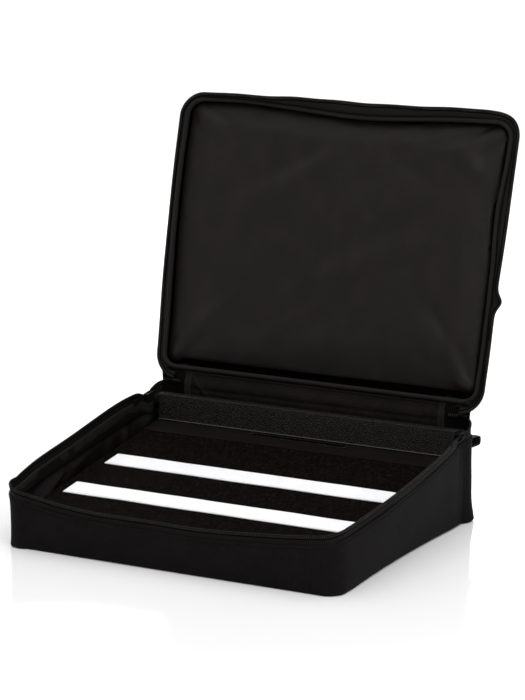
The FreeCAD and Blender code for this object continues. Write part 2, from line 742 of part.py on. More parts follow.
def make_bowed_strap(label, half_length, thickness, width, hollow=None):
    """A strap bowed out from the rear wall; the grip is a sleeve with the strap running through it."""
    body = new_body(label)
    radius = number(BOW_RADIUS)
    half_angle = number(half_length) / radius
    centre_back = radius - number("Sizes.handle_bow + Sizes.handle_stand_off")
    half = number(thickness) / 2
    sketch = new_sketch(body)
    arc_band(sketch, half_angle, radius - half, radius + half, centre_back)
    for index, sign in enumerate("-+"):
        expression = "%s %s (%s) / 2" % (BOW_RADIUS, sign, thickness)
        constraint = sketch.addConstraint(Sketcher.Constraint("Radius", index, number(expression)))
        sketch.setExpression("Constraints[%d]" % constraint, expression)
    pad(body, sketch, width, both_ways=True)
    if hollow is not None:
        tunnel = new_sketch(body)
        gap = number(hollow) / 2
        arc_band(tunnel, half_angle * 1.2, radius - gap, radius + gap, centre_back)
        cut(body, tunnel, both_ways=True, length="Sizes.handle_width + 0.4")
    pivot = REAR + " + Sizes.handle_pivot_back"
    place(body, y=pivot, z="Sizes.handle_height", turn_about_x="-Sizes.handle_droop")
    return body


def make_handle():
    sweep = "%s * %.6f" % (BOW_RADIUS, math.asin(number("Sizes.handle_half_span") / number(BOW_RADIUS)))
    make_bowed_strap("handle_strap", sweep, "Sizes.handle_thickness", "Sizes.handle_width")
    make_bowed_strap(
        "handle_grip", "Sizes.grip_half_length", "Sizes.grip_thickness", "Sizes.grip_width",
        hollow="Sizes.handle_thickness + 0.4",
    )
    for side, name in ((-1, "left"), (1, "right")):
        middle = "%d * Sizes.handle_half_span" % side
        make_upright_strip(
            "handle_patch_" + name, middle + " - Sizes.patch_width / 2", middle + " + Sizes.patch_width / 2",
            REAR + " + Sizes.patch_thickness", "Sizes.patch_thickness",
            "Sizes.handle_height - Sizes.patch_height / 2", "Sizes.handle_height + Sizes.patch_height / 2",
        )


# ---------------------------------------------------------------- the whole part


make_case_layers()
make_case_zip()
make_hinge()
make_lid()
make_hinge_strip_upper()
make_deck()
make_rear_panel()
make_rails()
make_feet()
for side, name in ((-1, "left"), (1, "right")):
    make_slider(name, side)
    make_puller(name, side)
    make_strap_loop(name, side)
make_handle()

doc.recompute()
for item in doc.Objects:
    if "Invalid" in item.State or "Error" in item.State:
        raise RuntimeError("%s did not build: %s" % (item.Label, item.State))
os.makedirs("parts", exist_ok=True)
for subpart in SUBPARTS:
    shape = subpart.Shape
    if shape.isNull() or not shape.isValid() or not shape.Solids:
        raise RuntimeError(subpart.Label + " has no valid solid")
    shape.exportStep("parts/%s.step" % subpart.Label)
    print("%-22s %2d solid(s) %10.1f mm3" % (subpart.Label, len(shape.Solids), shape.Volume))
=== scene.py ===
import json
import math

import bmesh
import bpy
import numpy as np
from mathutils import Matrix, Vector, noise


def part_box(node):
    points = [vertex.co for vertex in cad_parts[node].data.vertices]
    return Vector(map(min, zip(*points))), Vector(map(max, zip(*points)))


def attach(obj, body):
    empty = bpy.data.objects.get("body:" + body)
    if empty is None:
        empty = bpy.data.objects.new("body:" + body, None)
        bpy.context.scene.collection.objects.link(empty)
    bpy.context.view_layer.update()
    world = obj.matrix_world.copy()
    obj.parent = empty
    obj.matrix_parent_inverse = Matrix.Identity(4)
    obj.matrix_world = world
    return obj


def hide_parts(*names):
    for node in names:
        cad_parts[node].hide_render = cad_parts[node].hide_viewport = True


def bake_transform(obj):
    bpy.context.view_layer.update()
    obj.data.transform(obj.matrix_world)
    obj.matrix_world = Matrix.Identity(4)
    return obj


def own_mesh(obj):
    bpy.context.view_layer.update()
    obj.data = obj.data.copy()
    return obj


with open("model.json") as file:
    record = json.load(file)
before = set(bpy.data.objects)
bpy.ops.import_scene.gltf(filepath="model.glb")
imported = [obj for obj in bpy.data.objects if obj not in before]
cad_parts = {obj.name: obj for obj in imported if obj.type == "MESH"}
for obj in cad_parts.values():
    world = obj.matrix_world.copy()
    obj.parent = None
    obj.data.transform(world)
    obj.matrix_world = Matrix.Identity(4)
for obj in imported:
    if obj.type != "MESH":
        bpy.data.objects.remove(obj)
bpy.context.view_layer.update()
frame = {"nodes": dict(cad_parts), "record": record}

MM = 0.001

# ---------------------------------------------------------------- sizes: the frame's boxes and the case's own

shell_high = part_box("bag_shell")[1]
coil_low, coil_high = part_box("base_zip_coil")
deck_low, deck_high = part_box("deck_carpet")
panel_low, panel_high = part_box("panel_leatherette")
lid_coil_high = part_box("lid_zip_coil")[1]

HALF_WIDTH = shell_high.x
HALF_DEPTH = shell_high.y
COIL_HEIGHT = 5.2 * MM
TAPE_HEIGHT = 14.0 * MM
CORNER = 26.0 * MM
COIL_INSET = 2.3 * MM
SKIN = 6.0 * MM

# The rim is a sloping plane: its height at the front and the rear coil gives the slope.
SLOPE = (coil_high.z - coil_low.z - COIL_HEIGHT) / (coil_high.y - coil_low.y)
TILT = math.atan(SLOPE)

joints = {joint["name"]: joint for joint in frame["record"]["behaviour"]["joints"]}
HINGE = Vector(joints["lid_hinge"]["pos_m"])
LEAN = math.radians(-joints["lid_hinge"]["range_deg"][0] - 90) - TILT
LID_UP = Vector((0, math.sin(LEAN), math.cos(LEAN)))
LID_IN = Vector((0, -math.cos(LEAN), math.sin(LEAN)))
LID_HALF = lid_coil_high.x
LID_TOP = (lid_coil_high.z - HINGE.z - 7.4 * MM * math.sin(LEAN)) / math.cos(LEAN)
HINGE_HALF = 187.0 * MM


def rim_height(y):
    return coil_high.z + (y - coil_high.y) * SLOPE


def on_lid(x, up, inward):
    """Arrays of lid coordinates to places: x across, up from the hinge line, inward from its plane."""
    x, up, inward = np.broadcast_arrays(x, up, inward)
    base = np.array(HINGE)[None, :] * np.array([0, 1, 1])
    place = base + up.reshape(-1, 1) * np.array(LID_UP) + inward.reshape(-1, 1) * np.array(LID_IN)
    place[:, 0] = x.ravel()
    return place.reshape(x.shape + (3,))


# ---------------------------------------------------------------- small mathematics


def smooth(value, start, end):
    """0 before start, 1 after end and an S curve between them."""
    share = np.clip((np.asarray(value, float) - start) / (end - start), 0, 1)
    return share * share * (3 - 2 * share)


def hump(value, centre, left, right, power=2.0):
    """1 at centre, falling to 0 at left below it and at right above it."""
    away = np.asarray(value, float) - centre
    reach = np.where(away < 0, left, right)
    return np.clip(1 - np.abs(away / reach) ** power, 0, 1)


def bell(value, centre, width):
    return np.exp(-(((np.asarray(value, float) - centre) / width) ** 2))


def cloth_noise(points, scale, seed=0.0):
    """Smooth noise from -1 to 1 at each point; scale is the size of its lumps."""
    flat = np.asarray(points, float).reshape(-1, 3) / scale + seed
    values = np.array([noise.noise(Vector(point)) for point in flat])
    return values.reshape(np.asarray(points).shape[:-1])


def outline(half, low, high, radius, distances):
    """Points and outward normals along a rounded rectangle, by distance from the middle of its high side.

    The line starts towards -x.  distances may be an array; its last value is the whole way round."""
    d = np.asarray(distances, float)
    straight, side, turn = half - radius, high - low - 2 * radius, math.pi * radius / 2
    legs = [straight, turn, side, turn, 2 * straight, turn, side, turn, straight]
    starts = np.concatenate([[0], np.cumsum(legs)])
    points = np.zeros(d.shape + (2,))
    normals = np.zeros(d.shape + (2,))
    lines = {
        0: ((0, high), (-1, 0), (0, 1)),
        2: ((-half, high - radius), (0, -1), (-1, 0)),
        4: ((-straight, low), (1, 0), (0, -1)),
        6: ((half, low + radius), (0, 1), (1, 0)),
        8: ((straight, high), (-1, 0), (0, 1)),
    }
    arcs = {
        1: ((-straight, high - radius), 90),
        3: ((-straight, low + radius), 180),
        5: ((straight, low + radius), 270),
        7: ((straight, high - radius), 0),
    }
    for leg in range(9):
        last = leg == 8
        inside = (d >= starts[leg] - 1e-12) & ((d < starts[leg + 1]) | last)
        along = d[inside] - starts[leg]
        if leg in lines:
            start, direction, normal = (np.array(v, float) for v in lines[leg])
            points[inside] = start + along[:, None] * direction
            normals[inside] = normal
        else:
            centre, angle = arcs[leg]
            turned = np.radians(angle) + along / radius
            ray = np.stack([np.cos(turned), np.sin(turned)], -1)
            points[inside] = np.array(centre) + ray * radius
            normals[inside] = ray
    return points, normals


def outline_length(half, low, high, radius):
    return 4 * (half - radius) + 2 * (high - low - 2 * radius) + 2 * math.pi * radius


# ---------------------------------------------------------------- meshes


def in_scene(name, data):
    """A new object in the scene with this data."""
    made = bpy.data.objects.new(name, data)
    bpy.context.scene.collection.objects.link(made)
    return made


def everywhere(direction, path):
    """The same direction at each point of a path."""
    return np.tile(np.array(direction, float), (len(path), 1))


def surface(name, points, wrap_along=False, wrap_across=False):
    """A smooth mesh through a grid of points [along, across].  Its UV map is in metres of cloth."""
    points = np.asarray(points, float)
    along, across = points.shape[:2]
    rows = along if wrap_along else along - 1
    columns = across if wrap_across else across - 1
    i, j = (a.ravel() for a in np.meshgrid(np.arange(rows), np.arange(columns), indexing="ij"))
    i2, j2 = (i + 1) % along, (j + 1) % across
    quads = np.stack([i * across + j, i2 * across + j, i2 * across + j2, i * across + j2], -1)
    mesh = bpy.data.meshes.new(name)
    mesh.from_pydata(points.reshape(-1, 3).tolist(), [], quads.tolist())
    steps_along = np.linalg.norm(np.roll(points, -1, 0) - points, axis=2).mean(1)
    steps_across = np.linalg.norm(np.roll(points, -1, 1) - points, axis=2).mean(0)
    u = np.concatenate([[0], np.cumsum(steps_along)])
    v = np.concatenate([[0], np.cumsum(steps_across)])
    corners = np.stack([
        np.stack([u[i], v[j]], -1), np.stack([u[i + 1], v[j]], -1),
        np.stack([u[i + 1], v[j + 1]], -1), np.stack([u[i], v[j + 1]], -1),
    ], 1)
    layer = mesh.uv_layers.new(name="Cloth")
    layer.data.foreach_set("uv", corners.reshape(-1).astype(np.float32))
    mesh.polygons.foreach_set("use_smooth", [True] * len(mesh.polygons))
    return in_scene(name, mesh)


def outward(piece, fill=False):
    """Make the normals point outwards, after filling any open ends if asked."""
    shape = bmesh.new()
    shape.from_mesh(piece.data)
    if fill:
        bmesh.ops.holes_fill(shape, edges=[e for e in shape.edges if e.is_boundary], sides=0)
    bmesh.ops.recalc_face_normals(shape, faces=shape.faces)
    shape.to_mesh(piece.data)
    shape.free()
    return piece


def closed_ends(piece):
    return outward(piece, fill=True)


def joined(name, pieces):
    """One object from several, which keep their material slots."""
    bpy.ops.object.select_all(action="DESELECT")
    for piece in pieces:
        piece.select_set(True)
    bpy.context.view_layer.objects.active = pieces[0]
    bpy.ops.object.join()
    pieces[0].name = name
    pieces[0].data.name = name
    return pieces[0]


def sweep(name, path, across, up, profile, wrap=False):
    """A closed profile, pairs of (across, up), carried along a path with a frame at each point."""
    profile = np.asarray(profile, float)
    if profile.ndim == 2:
        profile = np.broadcast_to(profile, (len(path),) + profile.shape)
    points = path[:, None, :] + profile[:, :, :1] * across[:, None, :] + profile[:, :, 1:] * up[:, None, :]
    piece = surface(name, points, wrap_along=wrap, wrap_across=True)
    return outward(piece) if wrap else closed_ends(piece)


def rounded_profile(width, height, steps=4, power=0.5):
    """A closed oval outline between a rectangle and an ellipse."""
    angles = np.linspace(0, 2 * math.pi, 4 * steps, endpoint=False)
    c, s = np.cos(angles), np.sin(angles)
    return np.stack([
        width / 2 * np.sign(c) * np.abs(c) ** power, height / 2 * np.sign(s) * np.abs(s) ** power,
    ], -1)


def unit(vectors):
    return vectors / np.maximum(np.linalg.norm(vectors, axis=-1, keepdims=True), 1e-12)


def resampled(path, fields, spacing):
    """A path and other arrays along it, at an even spacing."""
    lengths = np.concatenate([[0], np.cumsum(np.linalg.norm(np.diff(path, axis=0), axis=1))])
    count = max(2, int(round(lengths[-1] / spacing)) + 1)
    at = np.linspace(0, lengths[-1], count)
    pick = [np.stack([np.interp(at, lengths, f[:, k]) for k in range(3)], -1) for f in [path] + fields]
    return at, pick[0], [unit(f) for f in pick[1:]]


def zip_coil(name, path, across, up, pitch=2.6 * MM, height=4.6 * MM, depth=2.7 * MM, wire=0.52 * MM):
    """A coil zip's monofilament round a flat core: upright in front of it, and stepping on behind it."""
    at, path, (across, up) = resampled(path, [across, up], pitch / 10)
    turns, share = np.divmod(at / pitch, 1.0)
    stepped = (turns + np.clip(2 * share - 1, 0, 1)) * pitch
    spine = np.stack([np.interp(stepped, at, path[:, k]) for k in range(3)], -1)
    out = np.sin(2 * math.pi * share) * (depth / 2 - wire)
    rise = np.cos(2 * math.pi * share) * (height / 2 - wire)
    line = spine + out[:, None] * across + rise[:, None] * up
    forward = unit(np.gradient(line, axis=0))
    side = unit(np.cross(forward, unit(np.gradient(path, axis=0)) + 0.35 * up))
    other = np.cross(forward, side)
    angles = np.arange(5) * 2 * math.pi / 5
    ring = np.stack([np.cos(angles), np.sin(angles)], -1) * wire
    wound = sweep(name, line, side, other, ring)
    step = slice(None, None, 10)
    core_profile = rounded_profile(0.8 * MM, height * 0.76, 3)
    core = sweep(name + "_core", path[step], across[step], up[step], core_profile)
    # The foot is a nearly black strip under the coil: a painted shadow line where the coil stands over the
    # tape.
    below = path[step] - up[step] * (height / 2 + 0.5 * MM)
    foot = sweep(name + "_painted_shadow", below, across[step], up[step], rounded_profile(1.8 * MM, 1.7 * MM, 3, 1.0))
    wound.data.materials.append(coil_plastic)
    # The core and the foot take the nearly black cord, far darker than the coil: painted shade between the
    # turns and under the coil.
    for piece in (core, foot):
        piece.data.materials.append(painted_shade_cord)
    return joined(name, [wound, core, foot])


def stitches(name, path, out, along_length=2.6 * MM, gap=1.1 * MM, radius=0.32 * MM, material=None):
    """A row of short thread stitches lying on cloth; out points away from the cloth."""
    at, path, (out,) = resampled(path, [out], (along_length + gap) / 6)
    period = along_length + gap
    vertices, faces = [], []
    forward = unit(np.gradient(path, axis=0))
    side = unit(np.cross(forward, out))
    ring = [(math.cos(a), math.sin(a)) for a in np.arange(5) * 2 * math.pi / 5]
    count = int(at[-1] / period)
    for index in range(count):
        middle = (index + 0.5) * period
        first = len(vertices)
        for share, size, lift in ((-0.5, 0.25, -0.5), (-0.32, 0.85, 0.25), (0.0, 1.0, 0.55),
                                  (0.32, 0.85, 0.25), (0.5, 0.25, -0.5)):
            where = middle + share * along_length
            k = min(int(where / at[-1] * (len(at) - 1)), len(at) - 2)
            blend = where / at[-1] * (len(at) - 1) - k
            centre = path[k] * (1 - blend) + path[k + 1] * blend + out[k] * radius * lift
            for c, s in ring:
                vertices.append(centre + (side[k] * c + out[k] * s * 0.8) * radius * size)
        for r in range(4):
            for q in range(5):
                a, b = first + r * 5 + q, first + r * 5 + (q + 1) % 5
                faces.append((a, b, b + 5, a + 5))
        faces.append(tuple(first + q for q in reversed(range(5))))
        faces.append(tuple(first + 20 + q for q in range(5)))
    mesh = bpy.data.meshes.new(name)
    mesh.from_pydata([tuple(v) for v in vertices], [], faces)
    mesh.polygons.foreach_set("use_smooth", [True] * len(mesh.polygons))
    mesh.uv_layers.new(name="Cloth")
    mesh.materials.append(material or thread)
    return outward(in_scene(name, mesh))


def dress(piece, material, body):
    """Give a piece its material and its body."""
    piece.data.materials.clear()
    piece.data.materials.append(material)
    if body:
        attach(piece, body)


# ---------------------------------------------------------------- materials


class Surface:
    """A Principled material and short ways to feed its colour, roughness and bump."""

    def __init__(self, name, roughness=0.8, specular=0.2, sheen=0.0, sheen_tint=(1, 1, 1), metallic=0.0):
        self.material = bpy.data.materials.new(name)
        self.material.use_nodes = True
        self.tree = self.material.node_tree
        self.shader = self.tree.nodes["Principled BSDF"]
        self.shader.inputs["Roughness"].default_value = roughness
        self.shader.inputs["Specular IOR Level"].default_value = specular
        self.shader.inputs["Metallic"].default_value = metallic
        self.shader.inputs["Sheen Weight"].default_value = sheen
        self.shader.inputs["Sheen Roughness"].default_value = 0.4
        self.shader.inputs["Sheen Tint"].default_value = (*sheen_tint, 1)
        self.height = None

    def add(self, kind, inputs=None, **settings):
        node = self.tree.nodes.new(kind)
        for key, value in settings.items():
            setattr(node, key, value)
        for key, value in (inputs or {}).items():
            if isinstance(value, bpy.types.NodeSocket):
                self.tree.links.new(value, node.inputs[key])
            else:
                node.inputs[key].default_value = value
        return node

    def place(self, kind="Object"):
        return self.add("ShaderNodeTexCoord").outputs[kind]

    def axes(self, place):
        return self.add("ShaderNodeSeparateXYZ", {0: place}).outputs

    def maths(self, operation, first, second=0.0, third=0.0):
        inputs = {0: first, 1: second}
        if operation in ("MULTIPLY_ADD", "WRAP"):
            inputs[2] = third
        return self.add("ShaderNodeMath", inputs, operation=operation).outputs[0]

    def noise(self, place, size, detail=3.0, rough=0.6):
        """Noise from 0 to 1 whose lumps are about size metres across."""
        inputs = {"Vector": place, "Scale": 1 / size, "Detail": detail, "Roughness": rough}
        return self.add("ShaderNodeTexNoise", inputs).outputs["Fac"]

    def wave(self, value, period):
        """A sine of a length in metres, from 0 to 1."""
        turned = self.maths("MULTIPLY", value, 2 * math.pi / period)
        return self.maths("MULTIPLY_ADD", self.maths("SINE", turned), 0.5, 0.5)

    def stretched(self, place, factors):
        return self.add("ShaderNodeMapping", {"Vector": place, "Scale": factors}).outputs[0]

    def ramp(self, factor, stops):
        node = self.add("ShaderNodeValToRGB", {"Fac": factor})
        elements = node.color_ramp.elements
        while len(elements) < len(stops):
            elements.new(0.5)
        for element, (position, colour) in zip(elements, stops):
            element.position = position
            element.color = (*colour, 1)
        return node.outputs[0]

    def blend(self, factor, first, second):
        node = self.add("ShaderNodeMix", {"Factor": factor}, data_type="RGBA")
        for socket, value in ((node.inputs[6], first), (node.inputs[7], second)):
            if isinstance(value, bpy.types.NodeSocket):
                self.tree.links.new(value, socket)
            else:
                socket.default_value = (*value, 1)
        return node.outputs[2]

    def colour(self, socket):
        self.tree.links.new(socket, self.shader.inputs["Base Color"])

    def roughness(self, factor, low, high):
        node = self.add("ShaderNodeMapRange", {"Value": factor, "To Min": low, "To Max": high})
        self.tree.links.new(node.outputs[0], self.shader.inputs["Roughness"])

    def bump(self, height, distance, strength=1.0):
        """Stack a relief of that depth in metres on what is there already."""
        inputs = {"Height": height, "Distance": distance, "Strength": strength}
        if self.height is not None:
            inputs["Normal"] = self.height
        node = self.add("ShaderNodeBump", inputs)
        self.height = node.outputs[0]
        self.tree.links.new(self.height, self.shader.inputs["Normal"])


def shades(colour, *factors):
    return [tuple(channel * factor for channel in colour) for factor in factors]


def woven(name, colour, thread, roughness, specular, sheen, uneven=0.35):
    """Plain woven cloth: warp and weft relief, slubs, and slow changes of shade."""
    made = Surface(name, roughness, specular, sheen, (0.8, 0.78, 0.82))
    cloth, place = made.place("UV"), made.place("Object")
    across, along = made.axes(cloth)[:2]
    weave = made.maths("MULTIPLY", made.wave(across, thread), made.wave(along, thread))
    slubs = made.noise(made.stretched(cloth, (1.0, 0.12, 1.0)), 1.4 * MM, 2)
    patches = made.noise(place, 40 * MM, 8, 0.72)
    speckle = made.noise(place, 1.6 * MM, 3)
    dark, plain, light = shades(colour, 1 - uneven, 1.0, 1 + uneven)
    shade = made.ramp(patches, [(0.3, dark), (0.5, plain), (0.72, light)])
    flecks = made.ramp(speckle, [(0.38, (0.6,) * 3), (0.62, (1.35,) * 3)])
    inputs = {"Factor": 1.0, 6: shade, 7: flecks}
    tint = made.add("ShaderNodeMix", inputs, data_type="RGBA", blend_type="MULTIPLY")
    made.colour(tint.outputs[2])
    made.roughness(patches, roughness - 0.06, roughness + 0.05)
    made.bump(patches, 0.5 * MM, 0.4)
    made.bump(slubs, 0.08 * MM, 0.5)
    made.bump(weave, 0.12 * MM, 0.6)
    return made.material


def herringbone(name, colour, rib, run, roughness=0.65, specular=0.08, sheen=0.006, depth=0.14 * MM):
    """Tape or webbing: slanting ribs that change direction every run across its width."""
    made = Surface(name, roughness, specular, sheen, (0.8, 0.8, 0.78))
    cloth, place = made.place("UV"), made.place("Object")
    along, across = made.axes(cloth)[:2]
    zigzag = made.maths("PINGPONG", across, run)
    slant = made.wave(made.maths("ADD", along, zigzag), rib)
    rows = made.wave(across, run)
    wear = made.noise(place, 18 * MM, 4)
    speckle = made.noise(place, 0.8 * MM, 2)
    dark, plain, light = shades(colour, 0.35, 1.0, 1.9)
    # The rib colour follows the rib relief, lighter on the ribs and darker between them: painted light and
    # shade on one-colour yarn.
    ribs = made.blend(slant, dark, light)
    made.colour(made.blend(made.maths("MULTIPLY", speckle, 0.8), ribs, plain))
    made.roughness(wear, roughness - 0.08, roughness + 0.08)
    made.bump(wear, 0.4 * MM, 0.4)
    made.bump(rows, depth * 0.8, 0.6)
    made.bump(slant, depth, 0.9)
    return made.material


def make_satin(name, colour, sheen=0.012, specular=0.15):
    """Thin lining satin: nearly smooth, with a soft long highlight and faint crumpling."""
    made = Surface(name, 0.46, specular, sheen, (0.9, 0.78, 0.8))
    cloth, place = made.place("UV"), made.place("Object")
    across, along = made.axes(cloth)[:2]
    floats = made.wave(made.maths("ADD", across, made.maths("MULTIPLY", along, 0.5)), 0.7 * MM)
    crumple = made.noise(made.stretched(place, (1.0, 1.0, 0.6)), 26 * MM, 5, 0.55)
    fine = made.noise(place, 3.5 * MM, 3)
    dark, plain, light = shades(colour, 0.75, 1.0, 1.3)
    made.colour(made.ramp(crumple, [(0.32, dark), (0.52, plain), (0.7, light)]))
    made.roughness(fine, 0.44, 0.56)
    made.bump(crumple, 2.2 * MM, 0.22)
    made.bump(fine, 0.15 * MM, 0.3)
    made.bump(floats, 0.05 * MM, 0.35)
    return made.material


def make_carpet(name, colour):
    """Needle-punched carpet: matted fibres with brown and grey flecks."""
    made = Surface(name, 0.95, 0.02, 0.004, (0.75, 0.68, 0.62))
    place = made.place("Object")
    fibres = made.noise(made.stretched(place, (1.0, 0.45, 1.0)), 3.4 * MM, 6, 0.8)
    crossing = made.noise(made.stretched(place, (0.45, 1.0, 1.0)), 4.4 * MM, 6, 0.8)
    clumps = made.noise(place, 5 * MM, 3)
    trodden = made.noise(place, 70 * MM, 3)
    dark, plain, light = shades(colour, 0.15, 1.0, 4.0)
    flecks = made.ramp(fibres, [(0.4, dark), (0.52, plain), (0.62, light)])
    brown = tuple(c * f for c, f in zip(colour, (1.6, 1.15, 1.0)))
    made.colour(made.blend(made.ramp(crossing, [(0.45, (0, 0, 0)), (0.6, (0.6,) * 3)]), flecks, brown))
    made.roughness(trodden, 0.88, 1.0)
    made.bump(trodden, 1.0 * MM, 0.3)
    made.bump(clumps, 0.8 * MM, 0.6)
    made.bump(crossing, 0.6 * MM, 0.9)
    made.bump(fibres, 0.6 * MM, 0.9)
    return made.material


def make_leatherette(name, colour):
    """Pebble-grained vinyl: raised grains parted by narrow creases."""
    made = Surface(name, 0.42, 0.19)
    place = made.place("Object")
    bent = made.add("ShaderNodeTexNoise", {"Vector": place, "Scale": 420.0, "Detail": 2.0}).outputs["Color"]
    warp = made.add("ShaderNodeVectorMath", {0: bent, "Scale": 0.0012}, operation="SCALE").outputs[0]
    moved = made.add("ShaderNodeVectorMath", {0: place, 1: warp}, operation="ADD").outputs[0]
    grains = made.add("ShaderNodeTexVoronoi", {"Vector": moved, "Scale": 1 / (2.6 * MM)})
    creases = made.add(
        "ShaderNodeTexVoronoi", {"Vector": moved, "Scale": 1 / (2.6 * MM)}, feature="DISTANCE_TO_EDGE",
    )
    raised = made.ramp(creases.outputs["Distance"], [(0.0, (0, 0, 0)), (0.22, (1, 1, 1))])
    worn = made.noise(place, 40 * MM, 4)
    dark, plain, light = shades(colour, 0.45, 1.0, 1.7)
    # Each grain is coloured lighter in its middle and darker towards the creases: painted highlight on the
    # grains and painted shade in the creases.
    grain_light_and_crease_shade = made.ramp(grains.outputs["Distance"], [(0.0, light), (0.45, plain), (0.8, dark)])
    made.colour(grain_light_and_crease_shade)
    made.roughness(worn, 0.34, 0.5)
    made.bump(worn, 0.8 * MM, 0.3)
    made.bump(raised, 0.6 * MM, 1.0)
    return made.material


def make_vinyl(name, colour, specular=0.16):
    """Smooth vinyl over board, with faint rubbing marks."""
    made = Surface(name, 0.5, specular)
    place = made.place("Object")
    skin = made.noise(place, 1.3 * MM, 4)
    rubbed = made.noise(made.stretched(place, (0.15, 1.0, 1.0)), 9 * MM, 4)
    dark, plain, light = shades(colour, 0.8, 1.0, 1.25)
    made.colour(made.ramp(rubbed, [(0.35, dark), (0.5, plain), (0.7, light)]))
    made.roughness(rubbed, 0.42, 0.6)
    made.bump(rubbed, 0.3 * MM, 0.25)
    made.bump(skin, 0.08 * MM, 0.5)
    return made.material


def make_hook_tape(name):
    """White hook tape: rows of tiny hooks standing on a woven ground."""
    made = Surface(name, 0.75, 0.25, 0.1)
    place = made.place("UV")
    along, across = made.axes(place)[:2]
    hooks = made.maths("MULTIPLY", made.wave(along, 1.5 * MM), made.wave(across, 1.2 * MM))
    tips = made.maths("POWER", hooks, 1.5)
    soil = made.noise(made.place("Object"), 30 * MM, 5)
    ground = made.ramp(soil, [(0.3, (0.70, 0.70, 0.72)), (0.7, (0.77, 0.77, 0.785))])
    made.colour(made.blend(made.maths("MULTIPLY", tips, 0.25), ground, (0.84, 0.84, 0.85)))
    made.roughness(soil, 0.65, 0.85)
    made.bump(made.noise(place, 0.6 * MM, 2), 0.08 * MM, 0.5)
    made.bump(tips, 0.35 * MM, 0.7)
    return made.material


def make_coil_plastic(name, colour, specular=0.3):
    made = Surface(name, 0.3, specular)
    place = made.place("Object")
    rub = made.noise(place, 9 * MM, 3)
    dark, plain, light = shades(colour, 0.7, 1.0, 1.8)
    made.colour(made.ramp(rub, [(0.35, dark), (0.5, plain), (0.72, light)]))
    made.roughness(made.noise(place, 2 * MM, 2), 0.22, 0.42)
    made.bump(made.noise(place, 0.5 * MM, 2), 0.04 * MM, 0.4)
    return made.material


def make_thread(name, colour, specular=0.15):
    made = Surface(name, 0.6, specular)
    place = made.place("Object")
    twist = made.noise(made.stretched(place, (1.0, 2.5, 1.0)), 0.7 * MM, 2)
    dark, light = shades(colour, 0.6, 1.4)
    made.colour(made.blend(twist, dark, light))
    made.roughness(twist, 0.5, 0.7)
    made.bump(twist, 0.1 * MM, 0.8)
    return made.material


def make_enamel(name, colour, bare):
    """Enamelled die-cast metal, rubbed bright on its edges."""
    made = Surface(name, 0.6, 0.04)
    place = made.place("Object")
    edges = made.add("ShaderNodeNewGeometry").outputs["Pointiness"]
    rubbed = made.ramp(edges, [(0.53, (0, 0, 0)), (0.6, (1, 1, 1))])
    patchy = made.maths("MULTIPLY", rubbed, made.noise(place, 1.2 * MM, 3))
    made.colour(made.blend(patchy, colour, bare))
    made.roughness(made.noise(place, 2 * MM, 4), 0.5, 0.65)
    made.bump(made.noise(place, 0.7 * MM, 3), 0.05 * MM, 0.5)
    return made.material


def make_steel(name):
    made = Surface(name, 0.35, 0.5, metallic=1.0)
    place = made.place("Object")
    turned = made.noise(made.stretched(place, (1.0, 1.0, 12.0)), 1.5 * MM, 4)
    made.colour(made.ramp(turned, [(0.3, (0.36, 0.36, 0.35)), (0.7, (0.62, 0.61, 0.58))]))
    made.roughness(turned, 0.25, 0.45)
    made.bump(turned, 0.05 * MM, 0.5)
    return made.material


def make_wood(name, pale, dark, painted=False):
    """Plywood: long grain on the faces and stacked plies on the edges, bare or under paint."""
    made = Surface(name, 0.6, 0.3)
    place = made.place("Object")
    grain = made.noise(made.stretched(place, (0.08, 1.0, 1.0)), 3 * MM, 6, 0.65)
    plies = made.wave(made.axes(place)[2], 3.0 * MM)
    wood = made.blend(grain, pale, dark)
    if painted:
        made.colour(made.ramp(grain, [(0.3, pale), (0.7, dark)]))
    else:
        made.colour(made.blend(made.maths("MULTIPLY", plies, 0.35), wood, dark))
    made.roughness(grain, 0.5, 0.75)
    made.bump(plies, 0.08 * MM, 0.3)
    made.bump(grain, 0.15 * MM, 0.5)
    return made.material


def make_rubber(name, colour):
    made = Surface(name, 0.8, 0.25)
    place = made.place("Object")
    dust = made.noise(place, 6 * MM, 5)
    plain, light = shades(colour, 1.0, 2.2)
    made.colour(made.ramp(dust, [(0.45, plain), (0.75, light)]))
    made.roughness(dust, 0.7, 0.9)
    made.bump(made.noise(place, 0.8 * MM, 3), 0.1 * MM, 0.6)
    return made.material


BLACK_CLOTH = (0.0042, 0.0034, 0.0036)
LINING = (0.0052, 0.0034, 0.0035)
TAPE = (0.0029, 0.0024, 0.0021)

case_cloth = woven("case_cloth", BLACK_CLOTH, 0.62 * MM, 0.75, 0.05, 0.008)
hinge_fabric = woven("hinge_fabric", (0.0056, 0.0042, 0.0038), 0.5 * MM, 0.7, 0.06, 0.01)
satin = make_satin("lining_satin", (0.0054, 0.0036, 0.0034))
case_satin = make_satin("case_satin", (0.0040, 0.0028, 0.0029), 0.003, 0.035)
# A nearly black copy of the lining satin for the lid's gutter: painted shade in the groove round the pad.
painted_shade_satin = make_satin("painted_shade_satin", shades(LINING, 0.05)[0], 0.0, 0.006)
zip_cloth = herringbone("zip_tape", TAPE, 0.9 * MM, 1.6 * MM)
binding_cloth = herringbone("binding_tape", (0.0064, 0.0050, 0.0046), 0.8 * MM, 1.2 * MM, 0.6, 0.1, 0.008)
